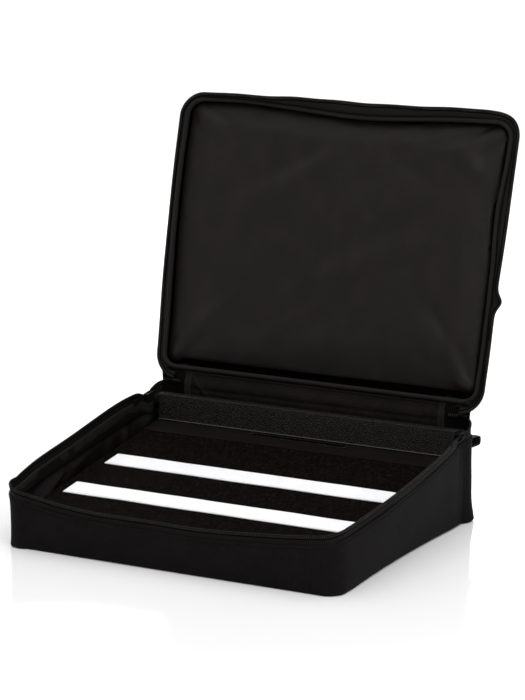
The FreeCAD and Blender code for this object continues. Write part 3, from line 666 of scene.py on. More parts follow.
# A darker, duller copy of the zip tape for the closed zip ends by the hinge: painted shade.
end_cloth_painted_shade = herringbone("end_tape_painted_shade", shades(TAPE, 0.45)[0], 0.9 * MM, 1.6 * MM, 0.75, 0.04, 0.002)
webbing = herringbone("webbing", (0.0045, 0.0045, 0.0050), 1.5 * MM, 3.0 * MM, 0.6, 0.12, 0.01, 0.3 * MM)
carpet = make_carpet("carpet", (0.0020, 0.0015, 0.0013))
pebbled = make_leatherette("leatherette", (0.0048, 0.0030, 0.0024))
vinyl = make_vinyl("strip_vinyl", (0.0036, 0.0026, 0.0021), 0.07)
# A much lighter, glossier vinyl for the rolled hem at the panel's foot: a painted highlight along that edge.
hem_vinyl_painted_highlight = make_vinyl("hem_vinyl_painted_highlight", (0.012, 0.0112, 0.0105), 0.5)
hook_cloth = make_hook_tape("hook_tape")
coil_plastic = make_coil_plastic("coil_plastic", (0.0110, 0.0102, 0.0092), 0.22)
# Nearly black cord for the coil's core and the strip under it: painted shade between the turns and a painted
# shadow under the coil.
painted_shade_cord = make_thread("painted_shade_cord", (0.0008, 0.0008, 0.0008), 0.02)
lip_plastic = make_coil_plastic("lip_plastic", (0.0075, 0.0068, 0.0062), 0.12)
thread = make_thread("thread", (0.005, 0.005, 0.005))
dull_thread = make_thread("dull_thread", (0.0022, 0.0020, 0.0020), 0.03)
white_thread = make_thread("white_thread", (0.55, 0.55, 0.57))
enamel = make_enamel("slider_enamel", (0.0016, 0.0016, 0.0017), (0.006, 0.0058, 0.0055))
steel = make_steel("screw_steel")
bare_wood = make_wood("plywood", (0.45, 0.31, 0.19), (0.30, 0.19, 0.11))
black_wood = make_wood("painted_wood", (0.012, 0.012, 0.012), (0.022, 0.021, 0.020), painted=True)
rubber = make_rubber("foot_rubber", (0.012, 0.012, 0.012))


# ---------------------------------------------------------------- the case's soft walls and rim

RIM_LENGTH = outline_length(HALF_WIDTH, -HALF_DEPTH, HALF_DEPTH, CORNER)
SLIDER_Y = sum((corner.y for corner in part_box("slider_left"))) / 2
FRONT_SAG = 16.5 * MM
LEFT_RISE, LEFT_SPREAD = 8.0 * MM, 10.5 * MM
RIGHT_SAG, RIGHT_SPREAD = 3.0 * MM, 6.0 * MM
REAR_RISE = HINGE.z - rim_height(HALF_DEPTH) - 1.0 * MM


def case_outline(distances):
    return outline(HALF_WIDTH, -HALF_DEPTH, HALF_DEPTH, CORNER, distances)


def rear_ramp(y):
    """0 along the sides and 1 at the rear, where the rim rises to the hinge."""
    return smooth(y, HALF_DEPTH - 21 * MM, HALF_DEPTH - 6 * MM)


def ears(plan):
    """How far the soft corners are pulled out past their even rounding; the front right one is not."""
    x, y = plan[..., 0], plan[..., 1]
    across = np.clip((np.abs(x) - HALF_WIDTH + CORNER) / CORNER, 0, 1)
    deep = np.clip((np.abs(y) - HALF_DEPTH + CORNER) / CORNER, 0, 1)
    size = np.where(y < 0, np.where(x < 0, 6.8, 0.5), np.where(x < 0, 6.0, 9.5)) * MM
    return size * 2 * across * deep


def rim_form(plan):
    """How far the slack rim stands above its plane, and outside its outline, at each plan point."""
    x, y = plan[..., 0], plan[..., 1]
    front = 1 - smooth(y, -HALF_DEPTH, 30 * MM - HALF_DEPTH)
    left = 1 - smooth(x, -HALF_WIDTH, 30 * MM - HALF_WIDTH)
    right = smooth(x, HALF_WIDTH - 30 * MM, HALF_WIDTH)
    held = 1 - bell(y, SLIDER_Y, 10 * MM)
    left = left * held * hump(y, -5 * MM, 183 * MM, 193 * MM, 4.5)
    right = right * held * hump(y, 25 * MM, 190 * MM, 140 * MM, 2.2)
    rise = -FRONT_SAG * front * hump(x, -45 * MM, 178 * MM, 268 * MM, 2.5)
    rise = rise + LEFT_RISE * left * (0.75 + 0.5 * smooth(y, -60 * MM, 100 * MM)) - RIGHT_SAG * right
    rise = rise + 0.12 * ears(plan) * (y < 0)
    rise = rise + REAR_RISE * rear_ramp(y)
    spread = LEFT_SPREAD * left + RIGHT_SPREAD * right
    spread = spread + 2.0 * MM * front * np.sin(x * 34) * hump(x, 0, 190 * MM, 190 * MM)
    return rise, spread + ears(plan)


def seam_height(plan):
    """Height of the cloth's edge under the zip tape.  Only part of the rear corners' rise lifts it."""
    rise, spread = rim_form(plan)
    lift = REAR_RISE * rear_ramp(plan[..., 1])
    return rim_height(plan[..., 1]) - TAPE_HEIGHT + rise - 0.75 * lift, spread


def wall(distances, levels, inset, foot=3.0 * MM, belly=1.0):
    """The case's wall as a grid [around, up]: level 0 is the floor and 1 the seam under the tape."""
    plan, normal = case_outline(distances)
    top, spread = seam_height(plan)
    levels = np.asarray(levels)[None, :]
    height = levels * top[:, None]
    x, y = plan[:, 0], plan[:, 1]
    side = smooth(np.abs(x), HALF_WIDTH - 20 * MM, HALF_WIDTH) * hump(y, 0, 165 * MM, 165 * MM)
    front = (1 - smooth(y, -HALF_DEPTH, 20 * MM - HALF_DEPTH)) * hump(x, 0, 205 * MM, 205 * MM)
    rear = smooth(y, HALF_DEPTH - 4 * MM, HALF_DEPTH) * hump(x, 0, 205 * MM, 205 * MM)
    swell = belly * (3.2 * MM * side + 3.0 * MM * front - 1.6 * MM * rear)
    pulled = ears(plan)[:, None]
    out = (spread[:, None] - pulled) * levels**1.3 + pulled + swell[:, None] * np.sin(math.pi * levels**0.9)
    bowed = smooth(x, HALF_WIDTH - 20 * MM, HALF_WIDTH) * hump(y, -8 * MM, 135 * MM, 140 * MM)
    out = out - bowed[:, None] * 5.0 * MM * (1 - levels) ** 1.3
    corner = np.abs(normal[:, 0] * normal[:, 1]) * 2
    out = out + corner[:, None] * (1.6 * MM * (1 - levels) ** 3 - 1.0 * MM * np.sin(math.pi * levels))
    kicked = corner * smooth(x, 0, 150 * MM) * smooth(y, 0, 150 * MM)
    out = out + kicked[:, None] * 3.0 * MM * (1 - levels) ** 2
    low = np.clip(foot - height, 0, foot)
    out = out - (foot - np.sqrt(foot**2 - low**2)) - inset
    points = np.zeros(out.shape + (3,))
    points[..., :2] = plan[:, None, :] + normal[:, None, :] * out[..., None]
    points[..., 2] = height
    return points, normal


def ruffled(points, normal, strength=1.0, seed=0.0):
    """Soft dents and drag lines in a padded wall, fading at the floor."""
    broad = cloth_noise(points * np.array([1, 1, 1.6]), 85 * MM, seed) * 1.5 * MM
    fine = cloth_noise(points * np.array([1, 1, 0.7]), 26 * MM, seed + 9) * 0.45 * MM
    fade = smooth(points[..., 2], 2 * MM, 22 * MM)
    push = (broad + fine) * strength * fade
    moved = points.copy()
    moved[..., :2] += normal[:, None, :] * push[..., None]
    return moved


def floor_rings(edge, shares, height, roll=0.0):
    """Rings from a wall's lowest row in to the middle of the floor."""
    middle = edge.mean(0)
    rings = []
    for share in shares:
        ring = middle + (edge - middle) * share
        ring[:, 2] = height
        rings.append(ring)
    rings = np.stack(rings, 1)
    rings[..., 2] += roll * (cloth_noise(rings, 60 * MM, 3) + 1)
    return rings


def make_case_shell():
    """Outer cloth over its foam: floor, rounded foot, walls that belly and sag, and a turned-in edge."""
    around = np.linspace(0, RIM_LENGTH, 420, endpoint=False)
    levels = np.concatenate([np.linspace(0, 0.16, 8)[:-1], np.linspace(0.16, 1, 26)])
    points, normal = wall(around, levels, 0.0)
    points = ruffled(points, normal)
    tuck = bell(around, 0.5 * RIM_LENGTH + HALF_WIDTH - CORNER + 20 * MM, 7 * MM)
    depth = np.linspace(0.2, 1.6, 4)[None, :, None] * MM
    points[:, -4:, :2] -= normal[:, None, :] * tuck[:, None, None] * depth
    edge = points[:, -1]
    out = np.concatenate([normal, np.zeros((len(normal), 1))], 1)
    up = np.array([0, 0, 1.0])
    fold = [edge + out * a * MM + up * b * MM for a, b in (
        (-0.1, 0.9), (-0.7, 1.5), (-1.4, 1.5), (-1.9, 0.9), (-2.0, 0.0), (-2.1, -4.0), (-2.2, -9.0))]
    base = points[:, 0].copy()
    floor = floor_rings(base, (0.0, 0.12, 0.3, 0.5, 0.7, 0.86, 0.95, 0.985), 0.0)
    rows = np.concatenate([floor, points, np.stack(fold, 1)], 1)
    rows[..., 2] = np.maximum(rows[..., 2], 0.15 * MM)
    shell = surface("case_shell", rows, wrap_along=True)
    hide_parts("bag_shell", "bag_padding")
    dress(shell, case_cloth, "bag")
    seam = edge + out * 0.35 * MM - up * 2.6 * MM
    seam_line = np.concatenate([seam, seam[:1]])
    threads = stitches("rim_stitching", seam_line, np.concatenate([out, out[:1]]))
    dress(threads, dull_thread, "bag")


def folds_in_lining(points):
    """Inward push of the slack lining: pleats that run down and forwards on the left wall, and soft ones
    elsewhere."""
    x, y, z = points[..., 0], points[..., 1], points[..., 2]
    depth = rim_height(y) - z
    below = smooth(depth, 24 * MM, 31 * MM) * (1 - smooth(depth, 42 * MM, 60 * MM))
    left = 1 - smooth(x, -HALF_WIDTH + 6 * MM, -HALF_WIDTH + 22 * MM)
    slanted = y + 2.6 * (depth - 15 * MM)
    push = np.zeros(points.shape[:2])
    for place, width, size in (
        (-76 * MM, 15 * MM, -6.0), (-38 * MM, 17 * MM, 8.5), (16 * MM, 30 * MM, 5.0), (-102 * MM, 9 * MM, -4.0),
        (-122 * MM, 9 * MM, 5.0), (-142 * MM, 8 * MM, -4.0), (-162 * MM, 10 * MM, 5.0),
    ):
        push += size * MM * bell(slanted, place, width)
    upright = y + 0.35 * (depth - 15 * MM)
    for place, width, size in (
        (52 * MM, 7 * MM, -2.5), (68 * MM, 9 * MM, 3.0), (103 * MM, 7 * MM, 5.0), (119 * MM, 6 * MM, -3.5),
        (148 * MM, 9 * MM, 4.5),
    ):
        push += size * MM * bell(upright, place, width)
    elsewhere = cloth_noise(points * np.array([1, 1, 0.35]), 34 * MM, 21) * 2.2 * MM * (1 - left)
    tucked = -2.6 * MM * bell(depth, 25.5 * MM, 2.6 * MM)
    return push * left * below + elsewhere * below + tucked


def make_case_lining():
    """The thin inner lining: floor, walls and the pleats above the board."""
    around = np.linspace(0, RIM_LENGTH, 560, endpoint=False)
    levels = np.concatenate([np.linspace(0.055, 0.3, 6)[:-1], np.linspace(0.3, 1, 44)])
    points, normal = wall(around, levels, SKIN + 0.5 * MM, foot=10 * MM)
    push = folds_in_lining(points)
    fine = cloth_noise(points, 12 * MM, 5) * 0.5 * MM * smooth(push, 0.2 * MM, 3 * MM)
    points[..., :2] -= normal[:, None, :] * (push + fine)[..., None]
    floor = floor_rings(points[:, 0], (0.0, 0.2, 0.4, 0.6, 0.8, 0.93, 0.98), points[0, 0, 2])
    rows = np.concatenate([floor, points], 1)
    lining = surface("case_lining", rows[:, ::-1], wrap_along=True)
    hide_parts("bag_lining")
    dress(lining, case_satin, "bag")


def rim_frame(distances, below):
    """Points of the rim that far below its top, with outward and upward directions."""
    plan, normal = case_outline(distances)
    top = seam_height(plan)[0]
    rise, spread = rim_form(plan)
    crest = rim_height(plan[:, 1]) + rise
    share = np.asarray(below)[None, :] / TAPE_HEIGHT
    height = crest[:, None] * (1 - share) + top[:, None] * share
    lean = spread + 0.6 * MM * cloth_noise(np.stack([plan[:, 0], plan[:, 1], 0 * crest], -1), 38 * MM, 7)
    out = spread[:, None] * share + (lean * 1.04)[:, None] * (1 - share) - COIL_INSET
    points = np.zeros((len(plan), share.shape[1], 3))
    points[..., :2] = plan[:, None, :] + normal[:, None, :] * out[..., None]
    points[..., 2] = height
    across = np.concatenate([normal, np.zeros((len(normal), 1))], 1)
    return points, across


ZIP_START = 217.0 * MM


def make_base_zip():
    """Standing tape with its sewn foot, the coil on its edge, and the facing inside."""
    around = np.linspace(ZIP_START, RIM_LENGTH - ZIP_START, 520)
    below = np.array([3.0, 5.2, 7.4, 9.6, 11.8, 14.0, 16.5]) * MM
    points, across = rim_frame(around, below)
    wobble = cloth_noise(points * np.array([1, 1, 0.4]), 30 * MM, 13) * 0.7 * MM
    points = points + across[:, None, :] * (wobble * np.sin(np.linspace(0, math.pi, len(below))))[..., None]
    thick = 0.45 * MM
    front = points + across[:, None, :] * thick
    back = points - across[:, None, :] * thick
    loop = np.concatenate([front, back[:, ::-1]], 1)
    tape = closed_ends(surface("base_tape", loop, wrap_across=True))
    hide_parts("base_zip_tape")
    dress(tape, zip_cloth, "bag")

    line, across = rim_frame(around, np.array([2.6 * MM]))
    up = everywhere((0, 0, 1), line)
    coil = zip_coil("base_coil", line[:, 0], across, up)
    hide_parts("base_zip_coil")
    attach(coil, "bag")

    depths = np.array([11.0, 12.0, 14.5, 17.5, 20.5, 23.0, 24.0]) * MM
    all_round = np.linspace(0, RIM_LENGTH, 480, endpoint=False)
    facing, across = rim_frame(all_round, np.minimum(depths, 14 * MM))
    top = seam_height(case_outline(all_round)[0])[0]
    share = (top[:, None] - np.maximum(depths - 14 * MM, 0)[None, :]) / top[:, None]
    facing[..., 2] = np.where(depths[None, :] > 14 * MM, top[:, None] * share, facing[..., 2])
    puff = np.array([0.2, 1.0, 1.7, 1.9, 2.0, 1.9, 1.2]) * MM
    ripple = cloth_noise(facing * np.array([1, 1, 0.5]), 22 * MM, 31) * 0.5 * MM
    inner = facing - across[:, None, :] * (puff[None, :] + 2.6 * MM + ripple)[..., None]
    outer = facing - across[:, None, :] * 2.6 * MM
    loop = np.concatenate([inner, outer[:, ::-1]], 1)
    band = outward(surface("rim_facing", loop, wrap_along=True, wrap_across=True))
    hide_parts("seam_binding")
    dress(band, binding_cloth, "bag")
    rows = [stitches("facing_stitching_%d" % k, np.concatenate([inner[:, k], inner[:1, k]]),
                     np.concatenate([-across, -across[:1]])) for k in (1, 5)]
    dress(joined("facing_stitching", rows), thread, "bag")


make_case_shell()
make_case_lining()
make_base_zip()


# ---------------------------------------------------------------- the cloth hinge and the zip's closed ends

SEAM_REAR = shell_high.z
STRIP_TOP = 14.5 * MM


def hinge_rows(count):
    """Places up the strip's middle, from inside the seam up on to the lid."""
    foot = SEAM_REAR + 1.0 * MM
    wall_y = HALF_DEPTH - 1.6 * MM
    total = HINGE.z - foot + STRIP_TOP
    rows = []
    for distance in np.linspace(0, total, count):
        up = distance - (HINGE.z - foot)
        bend = smooth(up, -6 * MM, 6 * MM)
        low = Vector((0, wall_y, foot + distance))
        high = HINGE + LID_UP * up
        rows.append(low.lerp(high, float(bend)))
    return np.array(rows)


def strip(name, left, right, columns, rows, thick, push, material):
    """A hanging strip of cloth across the fold between two places on the hinge line."""
    middle = hinge_rows(rows)
    x = np.linspace(left, right, columns)
    points = np.zeros((columns, rows, 3))
    points[..., 0] = x[:, None]
    points[..., 1:] = middle[None, :, 1:]
    shift = push(points)
    points[..., 1] -= shift
    half = np.array([0, thick / 2, 0])
    loop = np.concatenate([points - half, (points + half)[:, ::-1]], 1)
    piece = closed_ends(surface(name, loop, wrap_across=True))
    dress(piece, material, None)
    return piece, points


def hinge_push(points):
    """Slack in the hinge strip: shallow upright waves, a crease low down and a tucked corner."""
    x, z = points[..., 0], points[..., 2]
    level = (z - SEAM_REAR) / (HINGE.z + STRIP_TOP - SEAM_REAR)
    middle = np.sin(math.pi * np.clip(level, 0, 1))
    waves = cloth_noise(points * np.array([1, 0, 0.4]), 48 * MM, 17) * 2.4 * MM
    waves = waves + cloth_noise(points * np.array([1, 0, 0.8]), 17 * MM, 4) * 0.8 * MM
    tuck = bell(x + 0.9 * (z - HINGE.z), -171 * MM, 3.0 * MM) * 2.6 * MM
    tuck = tuck + bell(x - 0.8 * (z - HINGE.z), 160 * MM, 4.0 * MM) * 1.6 * MM
    crease = -1.2 * MM * bell(z, 124 * MM, 2.0 * MM)
    return middle * (1.0 * MM + waves + tuck) + crease


def ribbed(inner, outer):
    """Two upright ribs across a sewn band, as a push for a strip between these two places."""
    def push(grid):
        ribs = np.cos((grid[..., 0] - inner) / (outer - inner) * 4 * math.pi) * 0.35 * MM
        return 1.6 * MM - ribs + cloth_noise(grid, 6 * MM, 2) * 0.3 * MM
    return push


def make_hinge():
    span = HINGE_HALF - 7 * MM
    cloth = strip("hinge_cloth", -span, span, 190, 24, 1.4 * MM, hinge_push, hinge_fabric)[0]
    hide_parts("hinge_strip_lower", "hinge_strip_upper")
    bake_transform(cloth)
    for side, name in ((-1, "left"), (1, "right")):
        inner, outer = side * (HINGE_HALF - 9 * MM), side * (HINGE_HALF + 0.5 * MM)
        band, grid = strip("band_of_stitching_" + name, inner, outer, 14, 24, 2.2 * MM, ribbed(inner, outer),
                           binding_cloth)
        threads = []
        for share in (0.22, 0.5, 0.78):
            column = grid[int(round(share * 13))] - np.array([0, 1.25 * MM, 0])
            out = everywhere((0, -1, 0), column)
            threads.append(stitches("t", column, out, 2.0 * MM, 0.8 * MM, 0.34 * MM))
        band = joined("band_of_stitching_" + name, [band] + threads)
        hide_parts("stitch_band_" + name)
        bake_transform(band)


def make_zip_end(side, name):
    """The last of the zip, always closed: both tapes and the joined coil, out to where they part."""
    across_run = np.linspace(HINGE_HALF - 1 * MM, ZIP_START + 1.5 * MM, 26)
    plan, normal = case_outline(across_run)
    plan, normal = plan * np.array([-side, 1]), normal * np.array([-side, 1])
    inner = plan + normal * (ears(plan)[:, None] - 2.6 * MM)
    share = (across_run - across_run[0]) / (across_run[-1] - across_run[0])
    rows = 16
    points = np.zeros((len(share), rows, 3))
    low = SEAM_REAR - 2 * MM + 1 * MM * share
    high = 22.0 * MM - 12.0 * MM * share**2
    fold = np.full(len(share), HINGE.z - 1.2 * MM)
    for row in range(rows):
        level = row / (rows - 1)
        lower = np.stack([inner[:, 0], inner[:, 1], low], -1)
        line = np.stack([inner[:, 0], inner[:, 1], fold], -1)
        upper = on_lid(inner[:, 0] * (1 + 0.01 * share), high, 1.5 * MM + 4.0 * MM * share)
        if level < 0.5:
            t = level * 2
            points[:, row] = lower * (1 - t) + line * t
            hollow = math.sin(math.pi * t) * 2.4 * MM * np.sin(math.pi * np.clip(share * 1.15, 0, 1))
            points[:, row, :2] += normal * hollow[:, None]
        else:
            t = level * 2 - 1
            points[:, row] = line * (1 - t) + upper * t
    thick = np.array([0, 0.5 * MM, 0])
    loop = np.concatenate([points - thick, (points + thick)[:, ::-1]], 1)
    tape = closed_ends(surface("tape", loop, wrap_across=True))
    # The closed end's tape takes the darker tape copy: painted shade.
    tape.data.materials.append(end_cloth_painted_shade)
    forward = np.concatenate([-normal, np.zeros((len(normal), 1))], 1)
    up = everywhere((0, 0, 1), normal)
    path = (np.stack([inner[:, 0], inner[:, 1], fold], -1) + forward * 1.1 * MM)[6:]
    coil = zip_coil("coil", path, forward[6:], up[6:], height=4.4 * MM, depth=3.2 * MM)
    piece = joined("closed_zip_" + name, [tape, coil])
    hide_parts("zip_end_" + name)
    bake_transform(piece)


make_hinge()
for side, name in ((-1, "left"), (1, "right")):
    make_zip_end(side, name)


# ---------------------------------------------------------------- the lid

LID_LOW = -0.5 * MM
LID_CORNER = 34.0 * MM
LID_START = 13.3 * MM
BINDING_INSET = 9.0 * MM
LID_LENGTH = outline_length(LID_HALF, LID_LOW, LID_TOP, LID_CORNER)


def lid_outline(distances):
    return outline(LID_HALF, LID_LOW, LID_TOP, LID_CORNER, distances)


def faces_down(normal):
    """1 on the lid's lower edge, by the hinge, and 0 on its other three sides."""
    return np.clip(-normal[:, 1], 0, 1) ** 2


def slack_lid(x, up, inward, edge):
    """Places on the lid after its slackness: edge is 1 at the zip's coil and 0 at the binding and inside."""
    taper = 0.978 + 0.032 * smooth(up, 0, 260 * MM)
    extra = 3.0 * MM * (1 - smooth(up, 10 * MM, 140 * MM)) * smooth(-x, 150 * MM, 230 * MM)
    near_top = smooth(up, LID_TOP - 60 * MM, LID_TOP - 10 * MM)
    near_left = smooth(-x, LID_HALF - 60 * MM, LID_HALF - 15 * MM)
    near_right = smooth(x, LID_HALF - 60 * MM, LID_HALF - 15 * MM)
    inside = 1 - edge
    new_x = x * taper + extra
    bulge = 2.2 * MM * hump(up, 160 * MM, 170 * MM, 200 * MM) + 1.5 * MM * smooth(up, 200 * MM, 300 * MM)
    new_x = new_x - near_left * bulge
    new_x = new_x + near_right * (1.4 * MM + 3.6 * MM * (1 - smooth(up, 60 * MM, 175 * MM)))
    new_x = new_x + edge * near_right * 7.5 * MM * bell(up, 145 * MM, 10 * MM)
    new_x = new_x - inside * near_right * 6.0 * MM * bell(up, 250 * MM, 55 * MM)
    new_x = new_x + inside * near_left * 2.0 * MM * bell(up, 120 * MM, 60 * MM)
    wave = 2.2 * MM * np.sin(x * 30 + 0.9) + 7.5 * x * MM
    waves = ((-195, 45, -2.4), (-75, 32, 2.9), (28, 38, -3.6), (143, 38, 3.0), (215, 15, -2.0))
    for centre, width, size in waves:
        wave = wave + size * MM * bell(x, centre * MM, width * MM)
    new_up = up + near_top * edge * wave
    dip = 8.0 * MM * bell(x, 25 * MM, 95 * MM) - 2.5 * MM * bell(x, -150 * MM, 50 * MM)
    new_up = new_up - near_top * inside * dip
    mid_left = hump(up, 190 * MM, 185 * MM, 175 * MM)
    mid_right = hump(up, 170 * MM, 150 * MM, 180 * MM)
    new_in = inward + edge * near_top * 8.0 * MM * hump(x, -45 * MM, 178 * MM, 268 * MM, 2.5)
    new_in = new_in + edge * (2.5 * MM * near_right * mid_right - 4.0 * MM * near_left * mid_left)
    return on_lid(new_x, new_up, new_in)


def lid_points(distances, inset, inward, edge, bottom_inset=None):
    """Points round the lid at an inset from the coil's outline; the bottom edge may have its own inset."""
    line, normal = lid_outline(np.mod(distances, LID_LENGTH))
    if bottom_inset is not None:
        inset = inset + (bottom_inset - inset) * faces_down(normal)
    place = line - normal * np.reshape(inset, (-1, 1))
    return slack_lid(place[:, 0], place[:, 1], np.broadcast_to(inward, place[:, 0].shape), edge)


def lid_loop(profile, count, start=0.0, length=None, ripple=0.0, seed=0.0):
    """A closed profile of (inset, bottom inset, inward, edge) carried round the lid: a grid of points."""
    whole = length is None
    length = LID_LENGTH if whole else length
    distances = start + np.linspace(0, length, count, endpoint=not whole)
    columns = [lid_points(distances, a, c, e, b) for a, b, c, e in profile]
    grid = np.stack(columns, 1)
    if ripple:
        lumps = cloth_noise(grid, 24 * MM, seed) * ripple
        grid += lumps[..., None] * np.array(LID_IN)
    return grid


def soften(piece):
    """The lid's rim is wider than the case's; this only gives the piece its own copy of its mesh."""
    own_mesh(piece)


ZIP_OPEN = LID_LENGTH / 2 - 210.0 * MM


def make_lid_zip():
    start = LID_LENGTH - ZIP_OPEN
    half = 0.45
    edge_row = ((3.0, 1.0, 6.0), (5.2, 1.0, 5.6), (7.0, 0.75, 4.6), (9.0, 0.4, 2.6), (11.5, 0.05, 1.4))
    profile = [(a * MM, a * MM, (rise + half) * MM, edge) for a, edge, rise in edge_row]
    profile += [(a * MM, a * MM, (rise - half) * MM, edge) for a, edge, rise in reversed(edge_row)]
    grid = lid_loop(profile, 560, start, 2 * ZIP_OPEN, 0.5 * MM, 3)
    tape = closed_ends(surface("lid_tape", grid, wrap_across=True))
    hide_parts("lid_zip_tape")
    dress(tape, binding_cloth, "lid")
    soften(tape)

    distances = start + np.linspace(0, 2 * ZIP_OPEN, 620)
    path = lid_points(distances, 2.6 * MM, 6.0 * MM, 1.0)
    rim = lid_points(distances, 0.6 * MM, 6.0 * MM, 1.0)
    across = everywhere(LID_IN, path)
    coil = zip_coil("lid_coil", path, across, unit(rim - path))
    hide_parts("lid_zip_coil")
    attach(coil, "lid")
    soften(coil)


def make_lid_bead():
    """The rolled binding between the tape and the lining: one full roll and a flat lip beside it."""
    count = 620
    middle, bottom = BINDING_INSET + 3.2 * MM, LID_START + 3.6 * MM
    roll = []
    for angle in np.linspace(0, 2 * math.pi, 14, endpoint=False):
        out, rise = 3.1 * MM * math.cos(angle), 3.5 * MM * math.sin(angle)
        roll.append((middle - out, bottom - out, 4.4 * MM + rise, 0.0))
    grid = lid_loop(roll, count, ripple=0.8 * MM, seed=6)
    bead = outward(surface("lid_bead", grid, wrap_along=True, wrap_across=True))
    lip = []
    for angle in np.linspace(0, 2 * math.pi, 10, endpoint=False):
        out, rise = 1.7 * MM * math.cos(angle), 1.4 * MM * math.sin(angle)
        lip.append((middle - 4.6 * MM - out, bottom - 5.4 * MM - out, 1.4 * MM + rise, 0.12))
    grid = lid_loop(lip, count, ripple=0.4 * MM, seed=8)
    second = outward(surface("lip", grid, wrap_along=True, wrap_across=True))
    for piece in (bead, second):
        piece.data.materials.append(binding_cloth)
    distances = np.linspace(0, LID_LENGTH, count)
    line = lid_points(distances, middle - 2.3 * MM, 6.0 * MM, 0.0, bottom - 2.3 * MM)
    threads = stitches("t", line, everywhere(LID_IN, line), 2.4 * MM, 1.0 * MM, 0.3 * MM)
    bead = joined("lid_bead", [bead, second, threads])
    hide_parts("lid_binding")
    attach(bead, "lid")
    soften(bead)


def make_lid_cover():
    """The lid's padded outside: a soft crowned panel with a rounded edge and a topstitched seam."""
    distances = np.linspace(0, LID_LENGTH, 460, endpoint=False)
    inset, bottom = BINDING_INSET + 1 * MM, LID_START + 1 * MM
    steps = [
        (170.0, -13.2), (110.0, -13.2), (60.0, -13.2), (20.0, -13.2), (8.0, -13.0), (5.0, -11.5), (4.6, -6.0),
        (4.5, -2.0), (1.2, -0.6), (0.2, 0.8), (-0.1, -1.5), (-0.3, -4.0), (-0.2, -6.5), (0.3, -9.0),
        (1.6, -11.4),
        (3.6, -13.2), (6.0, -14.2), (7.6, -14.3), (8.6, -13.6), (9.6, -14.3), (12.0, -15.0), (18.0, -15.7),
        (30.0, -16.5), (50.0, -17.2), (80.0, -17.7), (110.0, -18.0), (135.0, -18.1), (155.0, -18.1),
        (170.0, -18.1),
    ]
    line, normal = lid_outline(distances)
    centre = np.array([0.0, (LID_LOW + LID_TOP) / 2])
    columns = []
    for away, inward in steps:
        near = inset + (bottom - inset) * faces_down(normal)
        edge = line - normal * (near + min(away, 18.0) * MM)[:, None]
        share = max(away - 18.0, 0) / 175.0
        place = edge + (centre - edge) * share * 1.08
        columns.append(slack_lid(place[:, 0], place[:, 1], np.full(len(place), inward * MM), 0.0))
    grid = np.stack(columns, 1)
    dents = cloth_noise(grid, 90 * MM, 40) * 1.6 * MM + cloth_noise(grid, 24 * MM, 44) * 0.35 * MM
    fade = np.array([smooth(away, 2, 30) * (inward < -13.4) for away, inward in steps])[None, :]
    grid -= (dents * fade)[..., None] * np.array(LID_IN)
    cover = surface("lid_outside", grid, wrap_along=True)
    cover = closed_ends(cover)
    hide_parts("lid_cover", "lid_stiffener", "lid_padding")
    dress(cover, case_cloth, "lid")
    soften(cover)
    seam = grid[:, 19] - np.array(LID_IN) * 0.15 * MM
    seam = np.concatenate([seam, seam[:1]])
    threads = stitches("cover_stitching", seam, everywhere(-LID_IN, seam), 2.8 * MM, 1.2 * MM)
    dress(threads, thread, "lid")
    soften(threads)


def simulated(name, piece, held, cap, pressure=3.0, voxel=5 * MM, frames=20):
    """Blow a closed soft form up as cloth.  held says which points stay and cap how far one may move."""
    modifier = piece.modifiers.new("grain", "REMESH")
    modifier.mode = "VOXEL"
    modifier.voxel_size = voxel
    graph = bpy.context.evaluated_depsgraph_get()
    mesh = bpy.data.meshes.new_from_object(piece.evaluated_get(graph))
    bpy.data.objects.remove(piece)
    pad = in_scene(name, mesh)
    start = np.array([v.co for v in mesh.vertices])
    group = pad.vertex_groups.new(name="held")
    group.add([int(k) for k in np.flatnonzero(held(start))], 1.0, "REPLACE")
    cloth = pad.modifiers.new("cloth", "CLOTH")
    settings = cloth.settings
    settings.quality = 6
    settings.mass = 0.15
    settings.tension_stiffness = 12
    settings.compression_stiffness = 12
    settings.shear_stiffness = 4
    settings.bending_stiffness = 1.5
    settings.use_pressure = True
    settings.uniform_pressure_force = pressure
    settings.vertex_group_mass = "held"
    settings.effector_weights.gravity = 0
    cloth.point_cache.frame_start, cloth.point_cache.frame_end = 1, frames
    scene = bpy.context.scene
    for number in range(1, frames + 1):
        scene.frame_set(number)
    graph = bpy.context.evaluated_depsgraph_get()
    blown = np.array([v.co for v in pad.evaluated_get(graph).data.vertices])
    pad.modifiers.remove(cloth)
    pad.vertex_groups.clear()
    scene.frame_set(1)
    moved = blown - start
    length = np.linalg.norm(moved, axis=1, keepdims=True)
    moved *= np.minimum(1, cap / np.maximum(length, 1e-9))
    final = start + moved
    mesh.vertices.foreach_set("co", final.reshape(-1).astype(np.float32))
    mesh.update()
    return pad, final


def lid_coordinates(points):
    away = np.asarray(points) - np.array([0, HINGE.y, HINGE.z])
    return points[:, 0], away @ np.array(LID_UP), away @ np.array(LID_IN)


